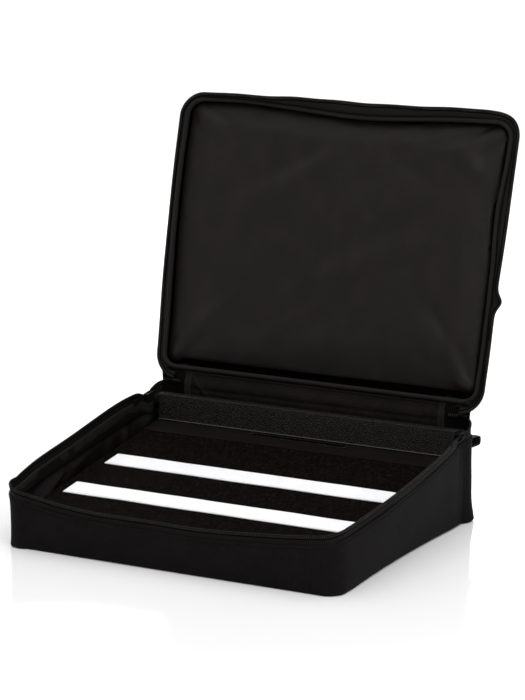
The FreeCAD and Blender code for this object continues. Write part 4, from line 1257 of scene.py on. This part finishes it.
def lining_creases(x, up):
    """Drag lines across the lid's lining: they fan from the dip in the top edge and from its corners."""
    lines = (
        (10, 335, -0.75, -0.66, 3.2, 15, 120), (60, 330, 0.85, -0.53, -2.2, 14, 90),
        (-20, 320, -0.9, -0.44, -3.0, 13, 130), (60, 190, -0.8, -0.6, 3.0, 22, 150),
        (20, 145, -0.86, -0.5, -3.2, 16, 150), (150, 80, -0.5, 0.86, 1.6, 12, 60),
        (178, 95, -0.62, 0.78, -2.6, 7, 40), (-190, 60, 0.7, 0.71, 3.0, 12, 70),
        (200, 300, -0.8, 0.6, 2.6, 12, 60), (-60, 60, 0.8, 0.6, -2.6, 14, 110),
        (100, 230, -0.85, -0.52, -2.0, 20, 120),
    )
    push = np.zeros_like(x)
    for cx, cu, dx, du, size, width, reach in lines:
        a, b = x - cx * MM, up - cu * MM
        along, off = a * dx + b * du, -a * du + b * dx
        bow = off + 0.12 * np.sin(along * 25) * width * MM
        push += size * MM * bell(bow, 0, width * MM) * bell(along, reach * 0.45 * MM, reach * MM * 0.6)
    return push


def make_lid_lining():
    """A puffed satin pad in the lid, and the satin gutter round it, in a nearly black satin that paints the
    groove's shade.
    """
    pad_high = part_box("lid_lining")[1]
    inset = LID_HALF - pad_high.x - 1.5 * MM
    bottom = LID_START + 10.5 * MM
    distances = np.linspace(0, LID_LENGTH, 240, endpoint=False)
    line, normal = lid_outline(distances)
    down = faces_down(normal)
    right, left, top = np.clip(normal[:, 0], 0, 1), np.clip(-normal[:, 0], 0, 1), np.clip(normal[:, 1], 0, 1)
    near = inset + (bottom - inset) * down + (3.2 * right - 6.0 * left - 4.0 * top) * MM
    near = near + 3.0 * MM * down * smooth(line[:, 0], -200 * MM, 180 * MM)
    reach = 13 + 22 * down
    centre = np.array([0.0, (LID_LOW + LID_TOP) / 2])
    columns = []
    for angle in (0.0, 12.0, 28.0, 45.0, 62.0, 78.0, 90.0):
        share = 1 - math.cos(math.radians(angle))
        inward = -10.5 + 10.8 * math.sin(math.radians(angle))
        edge = line - normal * (near + share * reach * MM)[:, None]
        columns.append(slack_lid(edge[:, 0], edge[:, 1], np.full(len(edge), inward * MM), 0.0))
    rim = line - normal * (near + reach * MM)[:, None]
    for share in (0.12, 0.3, 0.5, 0.7, 0.88, 0.98):
        place = rim + (centre - rim) * share
        rise = 0.3 + 2.2 * math.sin(share * math.pi / 2)
        columns.append(slack_lid(place[:, 0], place[:, 1], np.full(len(place), rise * MM), 0.0))
    pad = closed_ends(surface("form", np.stack(columns, 1), wrap_along=True))

    def held(points):
        return lid_coordinates(points)[2] < -7.5 * MM

    pad, points = simulated("lid_pad", pad, held, 4.5 * MM)
    x, up, inward = lid_coordinates(points)
    front = smooth(inward, -8 * MM, -1 * MM)
    x_room = smooth(LID_HALF * 0.95 - np.abs(x), 8 * MM, 40 * MM)
    up_room = smooth(up, 22 * MM, 70 * MM) * smooth(LID_TOP - up, 8 * MM, 34 * MM)
    dents = lining_creases(x, up) + cloth_noise(points, 70 * MM, 50) * 1.6 * MM
    dents = dents + cloth_noise(points * np.array([1.0, 0.6, 0.6]), 24 * MM, 53) * 0.5 * MM
    across = np.stack([x, 0 * x, 0 * x], -1)
    puckers = cloth_noise(across, 22 * MM, 70) + 0.5 * cloth_noise(across, 9 * MM, 71)
    edge_puckers = puckers * 1.1 * MM * (1 - smooth(up, 34 * MM, 80 * MM))
    shift = front * (dents * (0.25 + 0.75 * x_room * up_room) + edge_puckers)
    points = points + shift[:, None] * np.array(LID_IN)
    pad.data.vertices.foreach_set("co", points.reshape(-1).astype(np.float32))
    layer = pad.data.uv_layers.new(name="Cloth")
    corners = np.zeros(len(pad.data.loops), np.int32)
    pad.data.loops.foreach_get("vertex_index", corners)
    flat = np.stack([x, up], -1)[corners]
    layer.data.foreach_set("uv", flat.reshape(-1).astype(np.float32))
    pad.data.polygons.foreach_set("use_smooth", [True] * len(pad.data.polygons))
    pad.data.update()
    finer = pad.modifiers.new("finer", "SUBSURF")
    finer.levels, finer.render_levels = 1, 1
    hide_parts("lid_lining")
    dress(pad, satin, "lid")
    soften(pad)

    inner = BINDING_INSET + 5.2 * MM
    foot = LID_START + 5.6 * MM
    profile = [
        (inner + side * MM, foot + end * MM, rise * MM, 0.0) for side, end, rise in (
            (-1.5, -1.5, 3.0), (0.0, 0.0, 1.0), (0.6, 0.3, -4.0), (1.4, 1.0, -8.6),
            (20.0, 26.0, -9.4), (20.0, 26.0, -10.4), (0.8, 0.4, -9.4), (-0.6, -0.6, 0.0),
        )
    ]
    gutter = outward(surface("lid_gutter", lid_loop(profile, 480), wrap_along=True, wrap_across=True))
    # The gutter takes the nearly black satin: painted shade.
    dress(gutter, painted_shade_satin, "lid")
    soften(gutter)


make_lid_zip()
make_lid_bead()
make_lid_cover()
make_lid_lining()


# ---------------------------------------------------------------- the sloping board

CARPET_LENGTH = 294.0 * MM
BOARD_FRONT = Vector((0, deck_low.y, deck_high.z - CARPET_LENGTH * math.sin(TILT)))
DECK_BACK = Vector((0, math.cos(TILT), math.sin(TILT)))
DECK_UP = Vector((0, -math.sin(TILT), math.cos(TILT)))
BOARD_HALF = deck_high.x


def on_deck(x, back, rise):
    """Deck coordinates to places: across, back along the slope from its front edge, and up from the carpet."""
    x, back, rise = np.broadcast_arrays(x, back, rise)
    place = np.array(BOARD_FRONT) + back[..., None] * np.array(DECK_BACK) + rise[..., None] * np.array(DECK_UP)
    place[..., 0] = x
    return place


def slab(name, width, back_start, back_end, low, high, columns, rows, edge, waver=0.0, relief=0.0, seed=0.0):
    """A thin soft sheet lying on the deck, with rounded edges that may waver a little."""
    x = np.linspace(-1, 1, columns)
    y = np.linspace(0, 1, rows)
    gx, gy = np.meshgrid(x, y, indexing="ij")
    centre_y = (back_start + back_end) / 2
    half_y = (back_end - back_start) / 2
    px, py = gx * width, centre_y + (gy * 2 - 1) * half_y
    wander = np.array([noise.noise(Vector((value * 3.1, seed, 0))) for value in x])
    near = np.abs(gy * 2 - 1) ** 3 * np.sign(gy - 0.5)
    py = py + waver * (wander[:, None] * 1.6 + near * np.cos(gx * 9 + seed) * 0.7)
    in_x = width - np.abs(px)
    in_y = half_y - np.abs(gy * 2 - 1) * half_y
    inside = np.minimum(in_x, in_y)
    round_off = np.where(inside < edge, edge - np.sqrt(np.maximum(edge**2 - (edge - inside) ** 2, 0)), 0)
    top = high - np.minimum(round_off, (high - low) * 0.8)
    if relief:
        flat = np.stack([px, py, np.zeros_like(px)], -1)
        top = top + relief * (cloth_noise(flat, 45 * MM, seed) + 0.4 * cloth_noise(flat, 11 * MM, seed))
    upper = on_deck(px, py, top)
    lower = on_deck(px, py, np.full_like(px, low))
    grid = np.concatenate([upper, lower[:, ::-1]], 1)
    return closed_ends(surface(name, grid, wrap_across=True))


def make_carpet_piece():
    piece = slab("carpet_cover", BOARD_HALF, 0, CARPET_LENGTH - 0.4 * MM, -2.4 * MM, 0.0, 260, 180, 2.0 * MM,
                 0.0, 0.35 * MM, 5)
    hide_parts("deck_carpet")
    dress(piece, carpet, "board")


def make_hook_strip(node, seed):
    low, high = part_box(node)
    start = (low.y - BOARD_FRONT.y) / math.cos(TILT) + 0.1 * MM
    width = (high.y - low.y) / math.cos(TILT) - 0.2 * MM
    name = node.replace("hook_tape", "hook_strip")
    piece = slab(name, high.x, start, start + width, 0.15 * MM, 2.1 * MM, 220, 24, 0.7 * MM, 0.45 * MM,
                 0.18 * MM, seed)
    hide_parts(node)
    dress(piece, hook_cloth, "board")
    lines = []
    for edge in (start + 1.6 * MM, start + width - 1.6 * MM):
        x = np.linspace(-high.x + 3 * MM, high.x - 3 * MM, 160)
        wander = np.array([noise.noise(Vector((v / high.x * 3.1, seed, 0))) for v in x]) * 0.45 * MM * 1.6
        path = on_deck(x, edge + wander, np.full_like(x, 2.1 * MM))
        up = everywhere(DECK_UP, path)
        lines.append(stitches("t", path, up, 2.4 * MM, 0.9 * MM, 0.22 * MM, white_thread))
    sewn = joined(name + "_stitching", lines)
    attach(sewn, "board")


def make_panel_cover():
    """Pebbled leatherette wrapped over the top of the rear panel, with a rolled front edge."""
    low, high = panel_low, panel_high
    half_y, mid_y = (high.y - low.y) / 2, (high.y + low.y) / 2
    count = 9
    arc = np.linspace(0, math.pi / 2, count)
    roll = 2.2 * MM
    front_y, rear_y, top = low.y, high.y, high.z
    section = [(front_y, low.z + (top - low.z) * share) for share in (0, 0.35, 0.7)]
    section += [(front_y + roll * (1 - math.cos(a)), top - roll + roll * math.sin(a)) for a in arc]
    section += [(mid_y - half_y * 0.3, top), (mid_y + half_y * 0.3, top)]
    section += [(rear_y - roll * (1 - math.cos(a)), top - roll + roll * math.sin(a)) for a in arc[::-1]]
    section += [(rear_y, low.z + (top - low.z) * 0.5), (rear_y, low.z)]
    section += [(rear_y - 0.9 * MM, low.z), (rear_y - 0.9 * MM, top - 3.2 * MM), (mid_y, top - 1.2 * MM),
                (front_y + 0.9 * MM, top - 3.2 * MM), (front_y + 0.9 * MM, low.z)]
    x = np.linspace(low.x, high.x, 240)
    grid = np.zeros((len(x), len(section), 3))
    grid[..., 0] = x[:, None]
    grid[..., 1] = np.array([p[0] for p in section])
    grid[..., 2] = np.array([p[1] for p in section])
    ends = np.minimum(x - low.x, high.x - x)
    sink = np.where(ends < roll, roll - np.sqrt(np.maximum(roll**2 - (roll - ends) ** 2, 0)), 0)
    grid[..., 2] -= sink[:, None] * (grid[..., 2] > top - roll)
    lumps = cloth_noise(grid, 30 * MM, 3) * 0.25 * MM
    grid[..., 2] += lumps * (grid[..., 2] > top - 2 * roll)
    piece = closed_ends(surface("cover", grid, wrap_across=True))
    piece.data.materials.append(pebbled)
    back = (front_y - BOARD_FRONT.y) / math.cos(TILT) - 1.0 * MM
    foot_x = np.linspace(low.x + 1 * MM, high.x - 1 * MM, 420)
    lumpy = np.array([noise.noise(Vector((value / (3.2 * MM), 5, 0))) for value in foot_x]) * 0.35 * MM
    foot = on_deck(foot_x, np.full_like(foot_x, back) + lumpy, 0.9 * MM + lumpy)
    round_cord = rounded_profile(2.6 * MM, 1.9 * MM, 3, 1.0)
    hem = sweep("hem", foot, everywhere(DECK_BACK, foot), everywhere(DECK_UP, foot), round_cord)
    # The hem's light vinyl paints the bright line along the panel's foot.
    hem.data.materials.append(hem_vinyl_painted_highlight)
    piece = joined("panel_cover", [piece, hem])
    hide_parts("panel_leatherette")
    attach(piece, "board")


def make_slot_trim():
    """A thin raised lip of glossy plastic round the cable slot."""
    openings = frame["record"]["physics"]["openings"]
    slot = next(opening["box_m"] for opening in openings if opening["name"] == "cable_slot")
    strip_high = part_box("rear_strip")[1]
    middle, half = (slot[0][0] + slot[1][0]) / 2, (slot[1][0] - slot[0][0]) / 2 + 4 * MM
    radius = 3.5 * MM
    centre_back = (strip_high.y - BOARD_FRONT.y) / math.cos(TILT) - 7 * MM - radius
    turn = np.linspace(-math.pi / 2, math.pi / 2, 12)
    right = [(middle + half - radius + (radius + 0.9 * MM) * math.cos(a), (radius + 0.9 * MM) * math.sin(a))
             for a in turn]
    left = [(middle - half + radius - (radius + 0.9 * MM) * math.cos(a), -(radius + 0.9 * MM) * math.sin(a))
            for a in turn]
    ring = np.array(right + left)
    path = on_deck(ring[:, 0], centre_back + ring[:, 1], np.full(len(ring), 0.9 * MM))
    up = everywhere(DECK_UP, path)
    along = unit(np.roll(path, -1, 0) - np.roll(path, 1, 0))
    size = 0.2 + 1.0 * np.clip(np.abs(np.concatenate([np.cos(turn), np.cos(turn)])), 0, 1)
    profile = rounded_profile(2.4 * MM, 1.5 * MM, 3)[None] * size[:, None, None]
    trim = sweep("slot_trim", path, np.cross(along, up), up, profile, wrap=True)
    dress(trim, lip_plastic, "board")


def rounded(node, material, width, segments=3, angle=35):
    """A CAD solid whose shape is right: its hard edges are eased and it takes its material."""
    piece = frame["nodes"][node]
    piece.data.materials.clear()
    piece.data.materials.append(material)
    bevel = piece.modifiers.new("eased_edges", "BEVEL")
    bevel.width = width
    bevel.segments = segments
    bevel.limit_method = "ANGLE"
    bevel.angle_limit = math.radians(angle)
    bevel.harden_normals = True


make_carpet_piece()
make_hook_strip("front_hook_tape", 2.0)
make_hook_strip("rear_hook_tape", 7.0)
make_panel_cover()
make_slot_trim()
for node, material, width in (
    ("deck_board", bare_wood, 0.8 * MM), ("rear_strip", vinyl, 0.8 * MM), ("rear_panel", black_wood, 0.8 * MM),
    ("side_rail_left", black_wood, 1.0 * MM), ("side_rail_right", black_wood, 1.0 * MM),
    ("front_rail", black_wood, 1.0 * MM), ("rubber_feet", rubber, 0.8 * MM), ("foot_screws", steel, 0.2 * MM),
    ("slider_left", enamel, 0.35 * MM), ("slider_right", enamel, 0.35 * MM),
    ("puller_left", enamel, 0.4 * MM), ("puller_right", enamel, 0.4 * MM),
):
    rounded(node, material, width)


# ---------------------------------------------------------------- webbing: strap loops and handle


def ribbon(name, path, wide, width, thickness):
    """Webbing along a path; wide is the direction of its width at each point."""
    forward = unit(np.gradient(path, axis=0))
    wide = unit(wide)
    out = unit(np.cross(wide, forward))
    steps = np.linspace(-1, 1, 9)
    edge = np.sqrt(np.maximum(0, 1 - np.abs(steps) ** 8))
    upper = [(s * width / 2, thickness / 2 * max(e, 0.25)) for s, e in zip(steps, edge)]
    lower = [(s * width / 2, -thickness / 2 * max(e, 0.25)) for s, e in zip(steps, edge)]
    return sweep(name, path, wide, out, upper + lower[::-1])


def bend_through(corners, count, passes=3):
    """A smooth line through given places, by cutting corners a few times."""
    line = np.array(corners, float)
    for _ in range(passes):
        first, second = line[:-1], line[1:]
        cut = np.stack([first * 0.75 + second * 0.25, first * 0.25 + second * 0.75], 1).reshape(-1, 3)
        line = np.concatenate([line[:1], cut, line[-1:]])
    return resampled(line, [], np.linalg.norm(np.diff(line, axis=0), axis=1).sum() / count)[1]


def make_strap_loop(side, name):
    low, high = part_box("strap_loop_" + name)
    middle = (low.x + high.x) / 2 + side * 3 * MM
    width = high.x - low.x
    wall = HALF_DEPTH + 0.9 * MM
    top, bottom, tip = high.z - 3.0 * MM, low.z + 0.5 * MM, high.y + 8.0 * MM
    corners = [
        (middle, wall, top - 14 * MM), (middle, wall, top - 7 * MM), (middle, wall + 1.5 * MM, top - 2.0 * MM),
        (middle, wall + 9 * MM, top - 2.5 * MM), (middle, tip - 3.5 * MM, top - 4.5 * MM),
        (middle, tip, top - 7 * MM), (middle, tip, top - 14 * MM), (middle, tip - 4 * MM, top - 16.5 * MM),
        (middle, wall + 13 * MM, top - 14.5 * MM), (middle, wall + 4.5 * MM, top - 13.5 * MM),
        (middle, wall + 2.6 * MM, bottom - 1 * MM), (middle, wall + 1.8 * MM, bottom - 8 * MM),
    ]
    path = bend_through(corners, 70)
    wide = everywhere((1, 0, 0), path)
    loop = ribbon("loop", path, wide, width, 1.5 * MM)
    loop.data.materials.append(webbing)
    threads = []
    for x_share in (-0.36, 0.36):
        column = np.array([(middle + x_share * width, wall + 2.8 * MM, z)
                           for z in np.linspace(bottom - 7 * MM, bottom - 1 * MM, 8)])
        threads.append(stitches("t", column, everywhere((0, 1, 0), column), 1.8 * MM, 0.7 * MM))
    for level in (-6.5, -3.5):
        row = np.array([(middle + share * width, wall + 2.8 * MM, bottom + level * MM)
                        for share in np.linspace(-0.38, 0.38, 9)])
        threads.append(stitches("t", row, everywhere((0, 1, 0), row), 1.8 * MM, 0.7 * MM))
    loop = joined("webbing_loop_" + name, [loop] + threads)
    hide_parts("strap_loop_" + name)
    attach(loop, "bag")


HANDLE = Vector(joints["handle_swing"]["pos_m"])
HANDLE_SPAN = 80.0 * MM
HANDLE_BOW = 24.0 * MM
STRAP_WIDTH = 24.0 * MM
STAND_OFF = 8.0 * MM
DROOP = math.radians(12)


def handle_place(x, out, rise):
    """Handle coordinates to places: out from the wall and up before its droop."""
    y = HANDLE.y + out * math.cos(DROOP) + rise * math.sin(DROOP)
    z = HANDLE.z - out * math.sin(DROOP) + rise * math.cos(DROOP)
    return np.stack(np.broadcast_arrays(x, y, z), -1)


def handle_bow(x):
    radius = (HANDLE_SPAN**2 + HANDLE_BOW**2) / (2 * HANDLE_BOW)
    return STAND_OFF + HANDLE_BOW - radius + np.sqrt(np.maximum(radius**2 - np.asarray(x) ** 2, 0))


def make_handle():
    reach = HANDLE_SPAN - 2 * MM
    x = np.linspace(-reach, reach, 120)
    arc = handle_place(x, handle_bow(x), np.zeros_like(x))
    sewn = HALF_DEPTH + 2.4 * MM
    ends = []
    for side in (-1, 1):
        ends.append(np.array([(side * (HANDLE_SPAN + beyond * MM), sewn + lift * MM, HANDLE.z)
                              for beyond, lift in ((13, 0), (8, 0), (3, 0.6))]))
    path = np.concatenate([ends[0], arc[2:-2], ends[1][::-1]])
    path = bend_through(path, 150, 2)
    tilted = np.array([0, math.sin(DROOP), math.cos(DROOP)])
    level = smooth(np.abs(path[:, 0]), HANDLE_SPAN - 14 * MM, HANDLE_SPAN + 2 * MM)[:, None]
    wide = unit(tilted * (1 - level) + np.array([0, 0, 1.0]) * level)
    strap = ribbon("handle_webbing", path, wide, STRAP_WIDTH, 2.3 * MM)
    threads = []
    for share in (-0.38, 0.38):
        line = path + wide * share * STRAP_WIDTH
        out = unit(np.cross(wide, unit(np.gradient(path, axis=0))))
        out = out * np.sign(out[:, 1:2] + 1e-9)
        clear = np.abs(path[:, 0]) > 50 * MM
        for sign in (-1, 1):
            pick = clear & (np.sign(path[:, 0]) == sign)
            threads.append(stitches("t", (line + out * 1.25 * MM)[pick], out[pick], 2.6 * MM, 1.0 * MM))
    strap.data.materials.append(webbing)
    strap = joined("handle_webbing", [strap] + threads)
    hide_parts("handle_strap")
    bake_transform(strap)

    half = 48 * MM
    x = np.linspace(-half, half, 90)
    ends_in = np.minimum(half - np.abs(x), 5 * MM) / (5 * MM)
    fat = 0.45 + 0.55 * np.sqrt(np.clip(ends_in, 0, 1))
    angles = np.linspace(0, 2 * math.pi, 40, endpoint=False)
    grid = np.zeros((len(x), len(angles), 3))
    for column, angle in enumerate(angles):
        c, s = math.cos(angle), math.sin(angle)
        out = 3.6 * MM * math.copysign(abs(c) ** 0.75, c)
        rise = 15 * MM * math.copysign(abs(s) ** 0.6, s)
        grid[:, column] = handle_place(x, handle_bow(x) + out * fat, rise * (0.86 + 0.14 * fat))
    lumps = cloth_noise(grid, 14 * MM, 12) * 0.35 * MM
    grid[..., 1] += lumps
    grip = closed_ends(surface("handle_padding", grid, wrap_across=True))
    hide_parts("handle_grip")
    dress(grip, webbing, "handle")
    rows = []
    for rise in (-9.5 * MM, 9.5 * MM):
        line_x = np.linspace(-half + 5 * MM, half - 5 * MM, 60)
        line = handle_place(line_x, handle_bow(line_x) + 3.05 * MM, np.full_like(line_x, rise))
        rows.append(stitches("t", line, everywhere((0, 1, -0.2), line), 2.8 * MM, 1.1 * MM))
    sewn_rows = joined("handle_stitching", rows)
    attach(sewn_rows, "handle")


def make_handle_patch(name):
    """A square of webbing sewn down with a box of stitches."""
    low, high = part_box("handle_patch_" + name)
    middle = Vector(((low.x + high.x) / 2, 0, (low.z + high.z) / 2))
    half_x, half_z = (high.x - low.x) / 2, (high.z - low.z) / 2
    wall = low.y - 1.2 * MM
    x = np.linspace(-1, 1, 15)
    z = np.linspace(-1, 1, 13)
    gx, gz = np.meshgrid(x, z, indexing="ij")
    inside = np.minimum((1 - np.abs(gx)) * half_x, (1 - np.abs(gz)) * half_z)
    out = high.y - 0.9 * MM * np.clip(1 - inside / (2.5 * MM), 0, 1) ** 2
    front = np.stack([middle.x + gx * half_x, out, middle.z + gz * half_z], -1)
    back = front.copy()
    back[..., 1] = wall
    patch = closed_ends(surface("patch", np.concatenate([front, back[:, ::-1]], 1), wrap_across=True))
    patch.data.materials.append(webbing)
    threads = []
    a, b = half_x - 3 * MM, half_z - 3 * MM
    for start, end in (((-a, -b), (a, -b)), ((-a, b), (a, b)), ((-a, -b), (-a, b)), ((a, -b), (a, b))):
        across, up = (np.linspace(first, last, 12) for first, last in zip(start, end))
        line = np.stack([middle.x + across, np.full(12, high.y), middle.z + up], -1)
        threads.append(stitches("t", line, everywhere((0, 1, 0), line), 2.4 * MM, 0.9 * MM))
    patch = joined("sewn_patch_" + name, [patch] + threads)
    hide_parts("handle_patch_" + name)
    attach(patch, "bag")


make_handle()
for side, name in ((-1, "left"), (1, "right")):
    make_strap_loop(side, name)
    make_handle_patch(name)


# ---------------------------------------------------------------- floor, light and camera


def make_floor():
    bpy.ops.mesh.primitive_plane_add(size=40, location=(0, 0, -0.1 * MM))
    floor = bpy.context.active_object
    floor.name = "studio_floor"
    paper = Surface("studio_floor", 0.09)
    away = paper.add("ShaderNodeVectorMath", {0: paper.place("Object")}, operation="LENGTH").outputs["Value"]
    # The floor is coloured darker near the case and lighter far off: a painted pool of shade round the case.
    paper.colour(paper.ramp(away, [(0.45, (0.81,) * 3), (0.8, (0.96,) * 3)]))
    gloss = paper.ramp(away, [(0.5, (1.0,) * 3), (0.9, (0.1,) * 3)])
    paper.tree.links.new(gloss, paper.shader.inputs["Specular IOR Level"])
    paper.roughness(paper.ramp(away, [(0.5, (0.0,) * 3), (0.9, (1.0,) * 3)]), 0.09, 0.8)
    floor.data.materials.append(paper.material)


def make_light(name, place, aim, size, power):
    data = bpy.data.lights.new(name, "AREA")
    data.shape = "RECTANGLE"
    data.size, data.size_y = size
    data.energy = power
    lamp = in_scene(name, data)
    lamp.location = place
    lamp.rotation_euler = (Vector(aim) - Vector(place)).to_track_quat("-Z", "Y").to_euler()


def make_sky():
    world = bpy.data.worlds.new("studio")
    world.use_nodes = True
    tree = world.node_tree
    place = tree.nodes.new("ShaderNodeTexCoord")
    axes = tree.nodes.new("ShaderNodeSeparateXYZ")
    ramp = tree.nodes.new("ShaderNodeValToRGB")
    tree.links.new(place.outputs["Generated"], axes.inputs[0])
    tree.links.new(axes.outputs["Z"], ramp.inputs["Fac"])
    tree.links.new(ramp.outputs["Color"], tree.nodes["Background"].inputs["Color"])
    elements = ramp.color_ramp.elements
    elements[0].position, elements[0].color = 0.0, (0.2, 0.2, 0.2, 1)
    elements[1].position, elements[1].color = 1.0, (1.0, 1.0, 1.0, 1)
    elements.new(0.5).color = (0.6, 0.6, 0.6, 1)
    tree.nodes["Background"].inputs["Strength"].default_value = 1.6
    bpy.context.scene.world = world


def make_camera():
    data = bpy.data.cameras.new("camera")
    data.lens = 154.9
    data.sensor_width = 36
    data.clip_end = 50
    camera = in_scene("camera", data)
    azimuth, elevation, distance = math.radians(28.02), math.radians(12.94), 3.405
    back = Vector((
        math.sin(azimuth) * math.cos(elevation), -math.cos(azimuth) * math.cos(elevation), math.sin(elevation),
    ))
    aim = Vector((0.1513, -0.2340, 0.2966))
    camera.location = aim + back * distance
    camera.rotation_euler = (-back).to_track_quat("-Z", "Y").to_euler()
    bpy.context.scene.camera = camera


make_floor()
make_sky()
make_light("key", (1.3, -1.5, 2.3), (0, 0, 0.2), (1.6, 1.6), 26)
make_light("overhead", (0.0, 0.1, 2.6), (0, 0.1, 0), (2.2, 1.8), 10)
make_light("side", (2.4, -0.4, 0.9), (0, 0, 0.2), (1.0, 1.2), 10)
make_light("back", (-0.9, 2.3, 1.3), (0, 0.1, 0.2), (1.4, 1.4), 14)
make_camera()
bpy.context.scene.view_settings.view_transform = "Standard"
